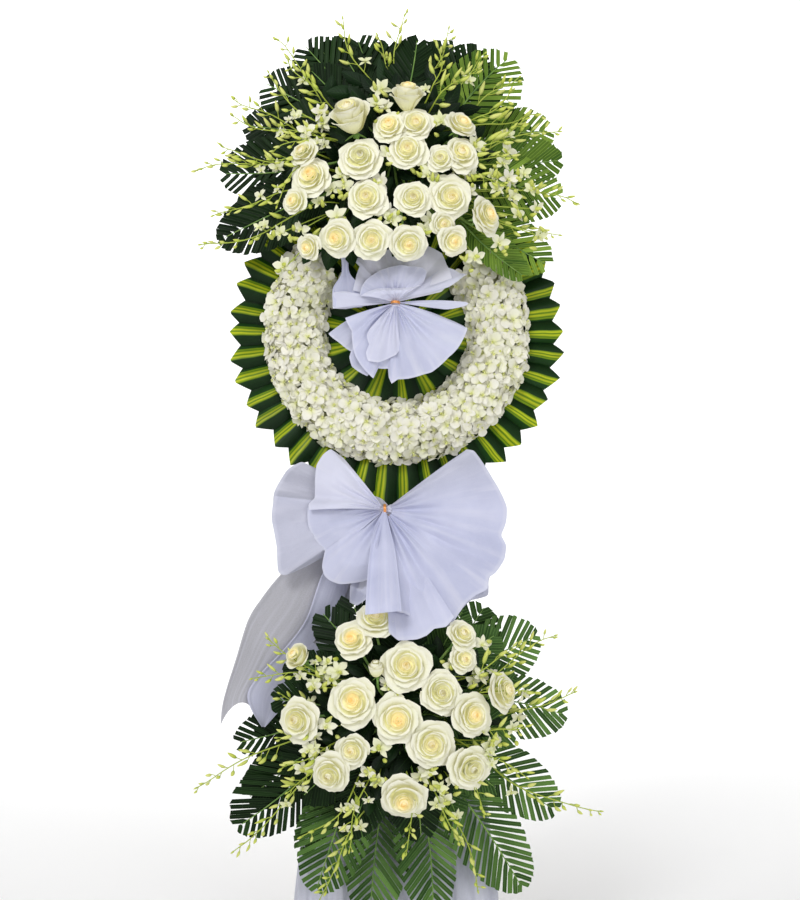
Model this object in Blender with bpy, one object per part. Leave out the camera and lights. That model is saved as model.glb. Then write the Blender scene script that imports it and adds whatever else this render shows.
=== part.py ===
"""Funeral flower stand, modelled in metres with +Z up.

A wooden easel leans back. It carries a round board faced with striped leaves and an
orchid garland, a bouquet of roses in floral foam above it, a second bouquet below it,
two ribbon bows and a cloth skirt round the feet.

The front of the easel is a leaning plane. The empty "easel_frame" holds that plane:
x runs to the right, y runs back through the board, and z runs up along the board.
Lengths below are in that frame unless a comment says that they are in the room's frame.
The origin is on the floor, under the middle of the stand.
"""

import math
import random

import bmesh
import bpy
from mathutils import Matrix, Vector

# Easel
LEAN = math.radians(6.5)
FOOT_LINE_Y = -0.137
TOUCH_GAP = 0.0003
FOOT_HALF_SPREAD = 0.150
LEG_TOP_HALF_SPREAD = 0.036
LEG_TOP_HEIGHT = 1.61
LEG_WIDTH = 0.030
LEG_DEPTH = 0.020
BOARD_THICKNESS = 0.012
BOARD_SIDES = 40
LEG_FRONT = BOARD_THICKNESS + TOUCH_GAP
REAR_FOOT_Y = 0.312
REAR_LEG_WIDTH = 0.030
REAR_LEG_DEPTH = 0.024
REAR_LEG_SEAT = 0.075
RAIL_FRONT = -0.0237
LOWER_RAIL_BOTTOM = 0.405
# Rails: half length, bottom, top and front face
RAILS = {
    "rail_upper": (0.085, 1.530, 1.590, RAIL_FRONT),
    "rail_middle": (0.125, 0.815, 0.860, 0.0),
    "rail_lower": (0.158, LOWER_RAIL_BOTTOM, 0.455, RAIL_FRONT),
}

# Round board, leaves and garland
RING_CENTRE = Vector((0.0, 0.0, 1.195))
BOARD_RADIUS = 0.285
COLLAR_LEAVES = 42
COLLAR_INNER = 0.170
COLLAR_TIP = 0.332
COLLAR_NOTCH = 0.311
ROSETTE_LEAVES = 12
ROSETTE_RADIUS = 0.166
LEAF_RIDGE = -0.0225
LEAF_VALLEY = -0.0019
LEAF_SHEET = 0.0016
GARLAND_RADIUS = 0.202
GARLAND_GAP_START = math.radians(42.0)
GARLAND_SWEEP = math.pi + 2 * GARLAND_GAP_START
GARLAND_HALF_WIDTH = 0.055
GARLAND_BACK = -0.0228
GARLAND_SECTION_CENTRE = -0.0300
GARLAND_SECTION_DEPTH = 0.030
GARLAND_FLORET = 0.0340
GARLAND_SPACING = 0.0780
GARLAND_ROW_TILTS = (-48, 0, 48)
GARLAND_ROW_OFFSET = 0.053
GARLAND_CORE_STEPS = 13
GARLAND_CORE_SHARE = 0.85
BLOOM_PETAL_POINTS = 10
BLOOM_NOTCH = 0.52

# Floral foam blocks
FOAM_BACK = RAIL_FRONT - TOUCH_GAP
FOAM_FRONT = -0.104
FOAM_TOP = (-0.120, 0.105, 1.420, 1.640)
FOAM_BOTTOM = (-0.115, 0.115, 0.345, 0.560)
STEM_CORE_RADIUS = 0.020
STEM_CORE_ROOT = -0.062
STEM_CORE_END = -0.120
STEM_RADIUS = 0.0028
CALYX_RADIUS = 0.0065
HOLE_CLEARANCE = 0.0004
BLOOM_DEPTH = -0.202
DOME_RISE = 0.026
DOME_RADIUS = 0.20
STEM_NECK = 0.012
STEM_START_SPREAD = 0.010

# Fronds
FROND_PEG_WIDTH = 0.0060
FROND_RIB_THICKNESS = 0.0030
FROND_TIP_THICKNESS = 0.0010
FROND_DEPTH_IN_FOAM = 0.028
FROND_LEAFLETS = 5
FROND_OVAL_MIDDLE = 0.56
FROND_OVAL_REACH = 0.50
FROND_BARE = 0.12
FROND_LEAFY = 0.74
FROND_FIRST_ANGLE = 84
FROND_ANGLE_TURN = 66
LEAFLET_GAP = 0.16
FROND_BEND = 0.25
FROND_ROOM = 0.004
LEAFLET_SHORTEST = 0.012
LEAFLET_STEP = 0.0005
SHARED_PEG_INNER = 0.016
SHARED_PEG_OUTER = 0.004
HOLE_RUN_OUT = 0.020

# Sprays
SPRAY_ROOT_Y = -0.0985
SPRAY_RADIUS = 0.0017
SPRAY_DEPTH_IN_FOAM = 0.024
SPRAY_FOOT = 0.0048
SPRAY_BUDS = 3
SPRAY_BOW = 0.016
BUD_RADIUS = 0.0066
SPRAY_BARE = 0.24
SPRAY_FIRST_BUD = 0.36
SPRAY_BLOOM_RADIUS = 0.017
SPRAY_BLOOM_SEAT = 0.008
SPRAY_FORWARD = 0.013
SPRAY_DROOP = 0.012

# Bows
BOW_SHEET = 0.0020
KNOT_RADIUS = 0.0095
LOBE_START = 0.003
LOBE_FOLD = 0.0045
LOBE_ROWS = 3
TIE_SIDES = 4
TIE_TURNS = 8
TIE_RING = 0.0105
TIE_WIRE = 0.0016
PICK_RADIUS = 0.0022

# Skirt
SKIRT_SHEET = 0.0018
SKIRT_TOP_HALF = 0.158
SKIRT_FLOOR_HALF = 0.203
SKIRT_FLOOR_CLEARANCE = 0.003
SKIRT_FRONT = -0.0105
SKIRT_SIDE_RETURN = 0.055
SKIRT_FOLD = 0.0055
SKIRT_FRONT_FOLDS = 16
SKIRT_SIDE_FOLDS = 2

SURFACES = {
    "stand_wood": ((0.62, 0.47, 0.30), 0.60),
    "board_wood": ((0.55, 0.43, 0.30), 0.70),
    "foam_green": ((0.09, 0.20, 0.08), 0.95),
    "striped_leaf": ((0.08, 0.22, 0.04), 0.45),
    "orchid_white": ((0.90, 0.90, 0.82), 0.55),
    "palm_green": ((0.05, 0.18, 0.04), 0.50),
    "rose_cream": ((0.91, 0.89, 0.74), 0.55),
    "stem_green": ((0.12, 0.27, 0.06), 0.60),
    "bud_lime": ((0.50, 0.62, 0.14), 0.50),
    "ribbon_white": ((0.80, 0.79, 0.92), 0.50),
    "tie_orange": ((0.85, 0.33, 0.10), 0.50),
    "skirt_white": ((0.80, 0.83, 0.90), 0.70),
}

# Blooms: place across and up the board, radius, shape and the side that each one turns to.
# "open" and "small" look out of their bouquet, "cup" is seen from its side, "bud" is closed.
TOP_BUNCHES = {
    "roses_top_crown": [
        (0.021, 1.618, 0.026, "cup", (0.25, 1.0)),
        (0.036, 1.567, 0.034, "open", (0.0, 0.25)),
        (-0.013, 1.560, 0.033, "small", (-0.2, 0.3)),
        (0.021, 1.513, 0.036, "open", (0.0, 0.0)),
    ],
    "roses_top_left": [
        (-0.086, 1.574, 0.037, "cup", (-0.3, 0.8)),
        (-0.070, 1.498, 0.040, "open", (-0.1, 0.1)),
        (-0.055, 1.423, 0.037, "open", (0.0, 0.0)),
    ],
    "roses_top_far_left": [
        (-0.177, 1.513, 0.028, "small", (-0.6, 0.5)),
        (-0.162, 1.463, 0.034, "open", (-0.3, 0.1)),
        (-0.195, 1.422, 0.026, "small", (-0.6, 0.0)),
    ],
    "roses_top_right": [
        (0.125, 1.568, 0.032, "small", (0.6, 0.7)),
        (0.122, 1.507, 0.031, "small", (0.3, 0.2)),
        (0.086, 1.499, 0.028, "small", (-0.1, 0.1)),
    ],
    "roses_top_far_right": [
        (0.032, 1.421, 0.034, "open", (0.0, 0.0)),
        (0.103, 1.426, 0.040, "open", (0.1, 0.0)),
        (0.174, 1.392, 0.035, "open", (1.1, 0.2)),
        (0.091, 1.374, 0.025, "small", (0.2, -0.4)),
        (0.109, 1.341, 0.029, "small", (0.3, -0.5)),
    ],
    "roses_top_low": [
        (-0.168, 1.331, 0.025, "small", (-0.7, -0.4)),
        (-0.112, 1.350, 0.034, "open", (-0.3, -0.3)),
        (-0.047, 1.345, 0.035, "open", (0.0, -0.3)),
        (0.021, 1.336, 0.035, "open", (0.1, -0.5)),
    ],
}
BOTTOM_BUNCHES = {
    "roses_bottom_crown": [
        (-0.036, 0.628, 0.036, "open", (0.0, 0.6)),
        (-0.079, 0.591, 0.036, "open", (-0.2, 0.4)),
    ],
    "roses_bottom_left_bud": [
        (-0.179, 0.556, 0.029, "cup", (-0.8, 0.7)),
    ],
    "roses_bottom_right": [
        (-0.036, 0.534, 0.016, "bud", (-0.2, 0.4)),
        (0.019, 0.542, 0.045, "open", (0.0, 0.2)),
        (0.083, 0.493, 0.038, "open", (0.2, 0.1)),
        (0.141, 0.449, 0.038, "open", (0.5, 0.1)),
        (0.199, 0.492, 0.036, "open", (1.2, 0.3)),
    ],
    "roses_bottom_back_right": [
        (0.124, 0.598, 0.029, "small", (0.5, 0.5)),
        (0.124, 0.554, 0.027, "small", (0.4, 0.1)),
    ],
    "roses_bottom_far_left": [
        (-0.181, 0.441, 0.038, "open", (-0.4, -0.1)),
    ],
    "roses_bottom_middle": [
        (-0.079, 0.475, 0.043, "open", (-0.2, 0.1)),
        (0.000, 0.444, 0.043, "open", (0.0, 0.0)),
        (0.066, 0.398, 0.042, "open", (0.1, -0.1)),
        (0.137, 0.355, 0.040, "open", (0.4, -0.2)),
    ],
    "roses_bottom_low_left": [
        (-0.080, 0.387, 0.032, "small", (-0.2, -0.2)),
        (-0.122, 0.345, 0.036, "open", (-0.3, -0.3)),
    ],
    "roses_bottom_low": [
        (0.013, 0.301, 0.043, "open", (0.0, -0.5)),
    ],
}

# Rose profiles, as shares of the bloom's radius: distance from the axis, height, depth of lobes
OPEN_PROFILE = [(0.28, 0.48, 0.18), (0.38, 0.18, 0.05), (0.68, 0.36, 0.15), (1.00, 0.06, 0.15)]
SMALL_PROFILE = [(0.34, 0.46, 0.18), (0.44, 0.14, 0.05), (1.00, 0.14, 0.16)]
CUP_PROFILE = [(0.26, 0.74, 0.18), (0.34, 0.44, 0.05), (0.58, 0.66, 0.15),
               (0.62, 0.30, 0.04), (0.95, 0.44, 0.15)]
BUD_PROFILE = [(0.42, 0.92, 0.10), (0.80, 0.35, 0.06), (0.85, -0.10, 0.0)]
ROSE_PROFILES = {"open": OPEN_PROFILE, "small": SMALL_PROFILE, "cup": CUP_PROFILE,
                 "bud": BUD_PROFILE}
ROSE_APEX = {"open": 0.34, "small": 0.34, "cup": 0.60, "bud": 1.10}
ROSE_FOOT = {"open": -0.60, "small": -0.62, "cup": -0.70, "bud": -0.90}
GUARD_REACH = 0.52
GUARD_HEIGHT = {"open": -0.08, "small": -0.06, "cup": 0.10, "bud": -0.05}
GUARD_HALF_WIDTH = 0.012
GUARD_THICKNESS = 0.0045
PETAL_SIDES = 10

# Fronds: root on the foam, tip, half width and depth of the layer that it lies in
TOP_FRONDS = {
    "frond_top_a": [((-0.070, 1.640), (-0.185, 1.772), 0.075, -0.060)],
    "frond_top_b": [((-0.035, 1.640), (-0.080, 1.792), 0.070, -0.048)],
    "frond_top_c": [((0.015, 1.640), (0.040, 1.786), 0.068, -0.036)],
    "frond_top_d": [((0.050, 1.640), (0.120, 1.776), 0.066, -0.054)],
    "frond_top_e": [((0.105, 1.600), (0.225, 1.742), 0.078, -0.072)],
    "frond_top_f": [((0.105, 1.555), (0.308, 1.602), 0.072, -0.045)],
    "frond_top_g": [((0.105, 1.505), (0.322, 1.452), 0.070, -0.078),
                    ((0.105, 1.530), (0.325, 1.535), 0.060, -0.066)],
    "frond_top_h": [((0.105, 1.440), (0.296, 1.318), 0.058, -0.088)],
    "frond_top_i": [((-0.120, 1.615), (-0.262, 1.690), 0.070, -0.072),
                    ((-0.120, 1.585), (-0.302, 1.612), 0.058, -0.045)],
    "frond_top_k": [((-0.120, 1.530), (-0.345, 1.510), 0.070, -0.060),
                    ((-0.120, 1.475), (-0.345, 1.372), 0.066, -0.078)],
}
BOTTOM_FRONDS = {
    "frond_bottom_a": [((0.115, 0.535), (0.268, 0.598), 0.066, -0.078),
                       ((0.115, 0.555), (0.170, 0.652), 0.060, -0.060)],
    "frond_bottom_b": [((0.115, 0.480), (0.322, 0.446), 0.064, -0.060)],
    "frond_bottom_c": [((0.115, 0.400), (0.300, 0.268), 0.060, -0.078)],
    "frond_bottom_d": [((0.085, 0.345), (0.235, 0.128), 0.068, -0.088)],
    "frond_bottom_e": [((0.035, 0.345), (0.082, 0.062), 0.066, -0.068)],
    "frond_bottom_f": [((-0.015, 0.345), (-0.050, 0.066), 0.064, -0.050)],
    "frond_bottom_g": [((-0.070, 0.345), (-0.168, 0.090), 0.072, -0.078)],
    "frond_bottom_h": [((-0.115, 0.400), (-0.300, 0.236), 0.074, -0.060)],
    "frond_bottom_i": [((-0.115, 0.450), (-0.306, 0.392), 0.050, -0.046),
                       ((-0.115, 0.520), (-0.208, 0.636), 0.040, -0.034)],
}

# Sprays: root on the foam, then the tip of each spray
TOP_SPRAYS = {
    "spray_top_left": [(-0.120, 1.555), [(-0.315, 1.642), (-0.322, 1.592), (-0.338, 1.540),
                                         (-0.232, 1.756)]],
    "spray_top_far_left": [(-0.120, 1.470), [(-0.388, 1.484), (-0.376, 1.338), (-0.352, 1.392)]],
    "spray_top_middle": [(0.000, 1.640), [(-0.105, 1.800), (-0.040, 1.764), (0.007, 1.806),
                                          (0.100, 1.782)]],
    "spray_top_right": [(0.105, 1.590), [(0.182, 1.724), (0.232, 1.690), (0.276, 1.618)]],
    "spray_top_far_right": [(0.105, 1.480), [(0.322, 1.562), (0.352, 1.430), (0.318, 1.368)]],
}
BOTTOM_SPRAYS = {
    "spray_bottom_left": [(-0.115, 0.425), [(-0.372, 0.312), (-0.312, 0.205), (-0.222, 0.480)]],
    "spray_bottom_right": [(0.115, 0.430), [(0.304, 0.592), (0.336, 0.486), (0.384, 0.276)]],
    "spray_bottom_low": [(0.010, 0.345), [(-0.135, 0.098), (0.144, 0.122)]],
}

# Bow lobes: angles in degrees with the reach at each, then how far the lobe comes forward,
# how full it is and how many folds it has.
UPPER_KNOT = Vector((-0.002, -0.098, 1.239))
UPPER_LOBES = [
    ([(14, 0.122), (35, 0.128), (62, 0.108), (92, 0.104), (122, 0.112), (146, 0.126), (166, 0.124)],
     0.006, 0.007, 4),
    ([(38, 0.052), (70, 0.070), (105, 0.074), (140, 0.062)], 0.020, 0.010, 2),
    ([(-8, 0.134), (3, 0.138), (12, 0.128)], 0.010, 0.004, 1),
    ([(194, 0.094), (220, 0.118), (246, 0.136), (270, 0.142), (296, 0.144), (322, 0.142),
      (342, 0.140)], 0.008, 0.008, 5),
    ([(198, 0.112), (214, 0.142), (232, 0.138), (246, 0.110)], -0.006, 0.004, 2),
]
LOWER_KNOT = Vector((-0.022, -0.082, 0.837))
LOWER_LOBES = [
    ([(150, 0.180), (163, 0.200), (174, 0.214), (190, 0.212), (203, 0.224), (213, 0.222)],
     -0.020, 0.010, 2),
    ([(128, 0.150), (145, 0.152), (162, 0.146), (180, 0.142), (198, 0.136), (215, 0.132)],
     0.026, 0.016, 2),
    ([(206, 0.136), (222, 0.166), (236, 0.166), (250, 0.152), (264, 0.142)], 0.018, 0.012, 2),
    ([(-62, 0.238), (-48, 0.252), (-34, 0.246), (-18, 0.236), (-2, 0.226), (14, 0.218),
      (26, 0.206), (38, 0.190)], 0.022, 0.018, 4),
    ([(-84, 0.238), (-76, 0.244), (-66, 0.236), (-56, 0.220)], 0.004, 0.006, 2),
    ([(256, 0.196), (268, 0.198), (280, 0.202)], 0.010, 0.006, 1),
]
TAIL_LEFT_EDGE = [(-0.031, 0.836), (-0.170, 0.735), (-0.262, 0.660), (-0.300, 0.600),
                  (-0.326, 0.510), (-0.347, 0.408)]
TAIL_RIGHT_EDGE = [(-0.018, 0.828), (-0.062, 0.740), (-0.092, 0.690), (-0.150, 0.600),
                   (-0.215, 0.520), (-0.262, 0.414)]
TAIL_DEPTHS = [-0.080, -0.036, -0.040, -0.056, -0.068, -0.076]
TAIL_COLUMNS = 6
TAIL_FOLD = 0.0065


def clear_scene():
    """Remove what the scene holds."""
    for old in list(bpy.data.objects):
        bpy.data.objects.remove(old, do_unlink=True)


def make_surface(name):
    """Return the named material."""
    colour, roughness = SURFACES[name]
    surface = bpy.data.materials.new(name)
    surface.use_nodes = True
    shader = surface.node_tree.nodes["Principled BSDF"]
    shader.inputs["Base Color"].default_value = (*colour, 1.0)
    shader.inputs["Roughness"].default_value = roughness
    shader.inputs["Metallic"].default_value = 0.0
    return surface


def make_collection(name):
    """Return a new collection in the scene."""
    group = bpy.data.collections.new(name)
    bpy.context.scene.collection.children.link(group)
    return group


clear_scene()
STAND = make_collection("funeral_flower_stand")
CUTTERS = make_collection("cutters")
MATERIALS = {name: make_surface(name) for name in SURFACES}
EASEL = bpy.data.objects.new("easel_frame", None)
EASEL.location = (0.0, FOOT_LINE_Y, 0.0)
EASEL.rotation_euler = (-LEAN, 0.0, 0.0)
STAND.objects.link(EASEL)
TO_ROOM = Matrix.Translation((0.0, FOOT_LINE_Y, 0.0)) @ Matrix.Rotation(-LEAN, 4, "X")
TO_EASEL = TO_ROOM.inverted()


def as_mesh(form, name):
    """Turn a bmesh into a mesh with its faces pointing out."""
    form.normal_update()
    bmesh.ops.recalc_face_normals(form, faces=form.faces)
    if form.calc_volume(signed=True) < 0:
        bmesh.ops.reverse_faces(form, faces=form.faces)
    mesh = bpy.data.meshes.new(name)
    form.to_mesh(mesh)
    form.free()
    return mesh


def add_part(name, mesh, surface, on_easel=True):
    """Place a mesh as a named part of the stand."""
    part = bpy.data.objects.new(name, mesh)
    mesh.materials.clear()
    mesh.materials.append(MATERIALS[surface])
    STAND.objects.link(part)
    if on_easel:
        part.parent = EASEL
    return part


def add_cutter(name, mesh, group):
    """Place a mesh as a hidden cutter on the easel's plane."""
    cutter = bpy.data.objects.new(name, mesh)
    group.objects.link(cutter)
    cutter.parent = EASEL
    cutter.hide_render = True
    cutter.display_type = "WIRE"
    return cutter


def fuse(name, meshes, solver="EXACT"):
    """Join overlapping closed meshes into one."""
    loose = bpy.data.collections.new(name + "_pieces")
    bpy.context.scene.collection.children.link(loose)
    pieces = [bpy.data.objects.new(f"{name}_{i}", mesh) for i, mesh in enumerate(meshes)]
    base = pieces[0]
    bpy.context.scene.collection.objects.link(base)
    for piece in pieces[1:]:
        loose.objects.link(piece)
    union = base.modifiers.new("union", "BOOLEAN")
    union.operation = "UNION"
    union.operand_type = "COLLECTION"
    union.collection = loose
    union.solver = solver
    evaluated = base.evaluated_get(bpy.context.evaluated_depsgraph_get())
    joined = bpy.data.meshes.new_from_object(evaluated)
    joined.name = name
    for piece in pieces:
        bpy.data.objects.remove(piece, do_unlink=True)
    bpy.data.collections.remove(loose)
    return joined


def box_mesh(name, low, high):
    """A box between two corners."""
    form = bmesh.new()
    bmesh.ops.create_cube(form, size=1.0)
    size = Vector(high) - Vector(low)
    middle = (Vector(high) + Vector(low)) / 2
    for vert in form.verts:
        vert.co = Vector((vert.co.x * size.x, vert.co.y * size.y, vert.co.z * size.z)) + middle
    return as_mesh(form, name)


def rod_mesh(name, points, radii, sides):
    """A closed rod with flat ends, along a bent line of points."""
    form = bmesh.new()
    rings = []
    side = None
    for i, point in enumerate(points):
        before = points[max(i - 1, 0)]
        after = points[min(i + 1, len(points) - 1)]
        along = (after - before).normalized()
        if side is None:
            helper = Vector((0.0, 1.0, 0.0)) if abs(along.y) < 0.9 else Vector((1.0, 0.0, 0.0))
            side = along.cross(helper).normalized()
        side = (side - along * side.dot(along)).normalized()
        other = along.cross(side)
        ring = []
        for k in range(sides):
            turn = 2 * math.pi * (k + 0.5) / sides
            offset = (side * math.cos(turn) + other * math.sin(turn)) * radii[i]
            ring.append(form.verts.new(point + offset))
        rings.append(ring)
    for low, high in zip(rings, rings[1:]):
        for k in range(sides):
            n = (k + 1) % sides
            form.faces.new((low[k], low[n], high[n], high[k]))
    form.faces.new(rings[0])
    form.faces.new(rings[-1])
    bmesh.ops.triangulate(form, faces=form.faces)
    return as_mesh(form, name)


def axis_frame(direction):
    """Two directions square to the given one."""
    helper = Vector((0.0, 0.0, 1.0)) if abs(direction.z) < 0.9 else Vector((1.0, 0.0, 0.0))
    first = direction.cross(helper).normalized()
    return first, direction.cross(first)


def two_faced_mesh(name, columns, rows, front_of, back_of):
    """A closed sheet over a grid: both faces are split into triangles alike."""
    form = bmesh.new()
    front = [[form.verts.new(front_of(i, j)) for j in range(rows)] for i in range(columns)]
    back = [[form.verts.new(back_of(i, j)) for j in range(rows)] for i in range(columns)]
    for i in range(columns - 1):
        for j in range(rows - 1):
            for grid in (front, back):
                a, b = grid[i][j], grid[i + 1][j]
                c, d = grid[i + 1][j + 1], grid[i][j + 1]
                form.faces.new((a, b, c))
                form.faces.new((a, c, d))
    rim = [(i, 0) for i in range(columns)]
    rim += [(columns - 1, j) for j in range(1, rows)]
    rim += [(i, rows - 1) for i in range(columns - 2, -1, -1)]
    rim += [(0, j) for j in range(rows - 2, 0, -1)]
    for (i, j), (m, n) in zip(rim, rim[1:] + rim[:1]):
        form.faces.new((front[i][j], front[m][n], back[m][n], back[i][j]))
    return as_mesh(form, name)


# Easel: two front legs, a rear leg and three rails

def make_front_leg(name, side):
    """A leg in the easel's plane, cut level at the floor."""
    form = bmesh.new()
    bmesh.ops.create_cube(form, size=1.0)
    for vert in form.verts:
        upper = vert.co.z > 0
        y = LEG_FRONT + (LEG_DEPTH if vert.co.y > 0 else 0.0)
        spread = LEG_TOP_HALF_SPREAD if upper else FOOT_HALF_SPREAD
        z = LEG_TOP_HEIGHT if upper else y * math.tan(LEAN)
        vert.co = Vector((side * spread + vert.co.x * LEG_WIDTH, y, z))
    add_part(name, as_mesh(form, name), "stand_wood")


def make_rear_leg():
    """The prop: its top lies flat against the upper rail, its foot is level on the floor."""
    seat_y = LEG_FRONT
    seat_high = TO_ROOM @ Vector((0.0, seat_y, LEG_TOP_HEIGHT))
    seat_low = TO_ROOM @ Vector((0.0, seat_y, LEG_TOP_HEIGHT - REAR_LEG_SEAT))
    back_high = TO_ROOM @ Vector((0.0, seat_y + REAR_LEG_DEPTH, LEG_TOP_HEIGHT))
    outline = [
        (seat_high.y, seat_high.z),
        (seat_low.y, seat_low.z),
        (REAR_FOOT_Y - REAR_LEG_DEPTH, 0.0),
        (REAR_FOOT_Y, 0.0),
        (back_high.y, back_high.z),
    ]
    form = bmesh.new()
    ring = [form.verts.new((-REAR_LEG_WIDTH / 2, y, z)) for y, z in outline]
    face = form.faces.new(ring)
    extruded = bmesh.ops.extrude_face_region(form, geom=[face])
    moved = [item for item in extruded["geom"] if isinstance(item, bmesh.types.BMVert)]
    bmesh.ops.translate(form, verts=moved, vec=(REAR_LEG_WIDTH, 0.0, 0.0))
    add_part("leg_rear", as_mesh(form, "leg_rear"), "stand_wood", on_easel=False)


def make_rail(name, half_length, low, high, front):
    """A batten across the front legs."""
    mesh = box_mesh(name, (-half_length, front, low), (half_length, BOARD_THICKNESS, high))
    add_part(name, mesh, "stand_wood")


def make_board():
    """The round board behind the leaves."""
    form = bmesh.new()
    turned = Matrix.Rotation(math.pi / 2, 4, "X")
    place = Matrix.Translation(RING_CENTRE + Vector((0.0, BOARD_THICKNESS / 2, 0.0)))
    bmesh.ops.create_cone(form, cap_ends=True, segments=BOARD_SIDES, radius1=BOARD_RADIUS,
                          radius2=BOARD_RADIUS, depth=BOARD_THICKNESS, matrix=place @ turned)
    add_part("backing_board", as_mesh(form, "backing_board"), "board_wood")


# Striped leaves: folded leaves side by side, each with its ridge to the front

def ring_point(form, turn, reach, depth):
    """A new point of a leaf ring."""
    way = Vector((math.sin(turn), 0.0, math.cos(turn)))
    return form.verts.new(RING_CENTRE + way * reach + Vector((0.0, depth, 0.0)))


def fold_ring(name, leaves, inner, tip, notch):
    """A ring of folded leaves: every leaf has its ridge in front and meets the next in a valley."""
    form = bmesh.new()
    step = 2 * math.pi / leaves
    layers = []
    for thickness in (0.0, LEAF_SHEET):
        ridges = [ring_point(form, step * (k + 0.5), tip, LEAF_RIDGE + thickness)
                  for k in range(leaves)]
        valleys = [ring_point(form, step * k, notch, LEAF_VALLEY + thickness)
                   for k in range(leaves)]
        if inner > 0:
            hub = [ring_point(form, step * k, inner, LEAF_VALLEY + thickness)
                   for k in range(leaves)]
        else:
            hub = [ring_point(form, 0.0, 0.0, LEAF_VALLEY + thickness)] * leaves
        layers.append((hub, valleys, ridges))
    (front_hub, front_valleys, front_ridges), (back_hub, back_valleys, back_ridges) = layers
    for k in range(leaves):
        n = (k + 1) % leaves
        for hub, valleys, ridges in layers:
            form.faces.new((hub[k], valleys[k], ridges[k]))
            form.faces.new((hub[n], ridges[k], valleys[n]))
            if inner > 0:
                form.faces.new((hub[k], ridges[k], hub[n]))
        form.faces.new((front_valleys[k], front_ridges[k], back_ridges[k], back_valleys[k]))
        form.faces.new((front_ridges[k], front_valleys[n], back_valleys[n], back_ridges[k]))
        if inner > 0:
            form.faces.new((front_hub[k], front_hub[n], back_hub[n], back_hub[k]))
    return as_mesh(form, name)


def make_leaves():
    """The wide collar and the rosette inside the garland."""
    collar = fold_ring("leaf_collar", COLLAR_LEAVES, COLLAR_INNER, COLLAR_TIP, COLLAR_NOTCH)
    add_part("leaf_collar", collar, "striped_leaf")
    rosette = fold_ring("leaf_rosette", ROSETTE_LEAVES, 0.0, ROSETTE_RADIUS, ROSETTE_RADIUS)
    return add_part("leaf_rosette", rosette, "striped_leaf")


# Orchid garland: a core in an open ring, covered with blooms of five petals

def floret_mesh(name, centre, facing, radius, turn):
    """A bloom of five petals whose back runs to a point, sunk in what carries it."""
    first, second = axis_frame(facing)
    form = bmesh.new()
    middle = form.verts.new(centre + facing * radius * 0.10)
    root = form.verts.new(centre - facing * radius * 0.85)
    rim = []
    for k in range(BLOOM_PETAL_POINTS):
        angle = turn + 2 * math.pi * k / BLOOM_PETAL_POINTS
        share = 1.0 if k % 2 == 0 else BLOOM_NOTCH
        height = 0.26 if k % 2 == 0 else 0.12
        way = first * math.cos(angle) + second * math.sin(angle)
        rim.append(form.verts.new(centre + way * radius * share + facing * radius * height))
    for k in range(BLOOM_PETAL_POINTS):
        n = (k + 1) % BLOOM_PETAL_POINTS
        form.faces.new((middle, rim[k], rim[n]))
        form.faces.new((root, rim[n], rim[k]))
    return as_mesh(form, name)


def garland_core():
    """The core: a flat back and a round front, swept round the ring."""
    section = [(-1.0, 0.0), (-0.85, 0.55), (0.0, 1.0), (0.85, 0.55), (1.0, 0.0)]
    half_width = GARLAND_HALF_WIDTH * GARLAND_CORE_SHARE
    depth = GARLAND_SECTION_DEPTH * GARLAND_CORE_SHARE
    form = bmesh.new()
    rings = []
    for i in range(GARLAND_CORE_STEPS + 1):
        angle = GARLAND_GAP_START - GARLAND_SWEEP * i / GARLAND_CORE_STEPS
        way = Vector((math.cos(angle), 0.0, math.sin(angle)))
        ring = []
        for across, forward in section:
            place = RING_CENTRE + way * (GARLAND_RADIUS + across * half_width)
            ring.append(form.verts.new(place + Vector((0.0, GARLAND_BACK - forward * depth, 0.0))))
        rings.append(ring)
    for low, high in zip(rings, rings[1:]):
        for k in range(len(section)):
            n = (k + 1) % len(section)
            form.faces.new((low[k], low[n], high[n], high[k]))
    form.faces.new(rings[0])
    form.faces.new(rings[-1])
    bmesh.ops.triangulate(form, faces=form.faces)
    return as_mesh(form, "garland_core")


def make_garland():
    """Blooms in three rows over the core."""
    draw = random.Random(7)
    meshes = [garland_core()]
    for row, tilt_degrees in enumerate(GARLAND_ROW_TILTS):
        tilt = math.radians(tilt_degrees)
        radius = GARLAND_RADIUS + GARLAND_ROW_OFFSET * math.sin(tilt)
        depth = GARLAND_SECTION_CENTRE - GARLAND_SECTION_DEPTH * math.cos(tilt)
        count = round(radius * GARLAND_SWEEP / GARLAND_SPACING)
        for i in range(count):
            angle = GARLAND_GAP_START - GARLAND_SWEEP * (i + 0.25 + 0.5 * (row % 2)) / count
            way = Vector((math.cos(angle), 0.0, math.sin(angle)))
            facing = way * math.sin(tilt) - Vector((0.0, math.cos(tilt), 0.0))
            centre = RING_CENTRE + way * radius + Vector((0.0, depth, 0.0))
            size = GARLAND_FLORET * draw.uniform(0.94, 1.06)
            meshes.append(floret_mesh("floret", centre, facing, size, draw.uniform(0.0, 1.2)))
    add_part("orchid_garland", fuse("orchid_garland", meshes, "MANIFOLD"), "orchid_white")


# Roses

def bloom_depth(x, z, bouquet):
    """Depth of a bloom's middle: the bouquet is domed."""
    spread = math.hypot(x - bouquet.x, z - bouquet.z)
    return BLOOM_DEPTH + DOME_RISE * min(1.0, spread / DOME_RADIUS) ** 2


def in_plane(way, facing):
    """The part of a direction that lies in a bloom's plane."""
    return (way - facing * way.dot(facing)).normalized()


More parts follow.
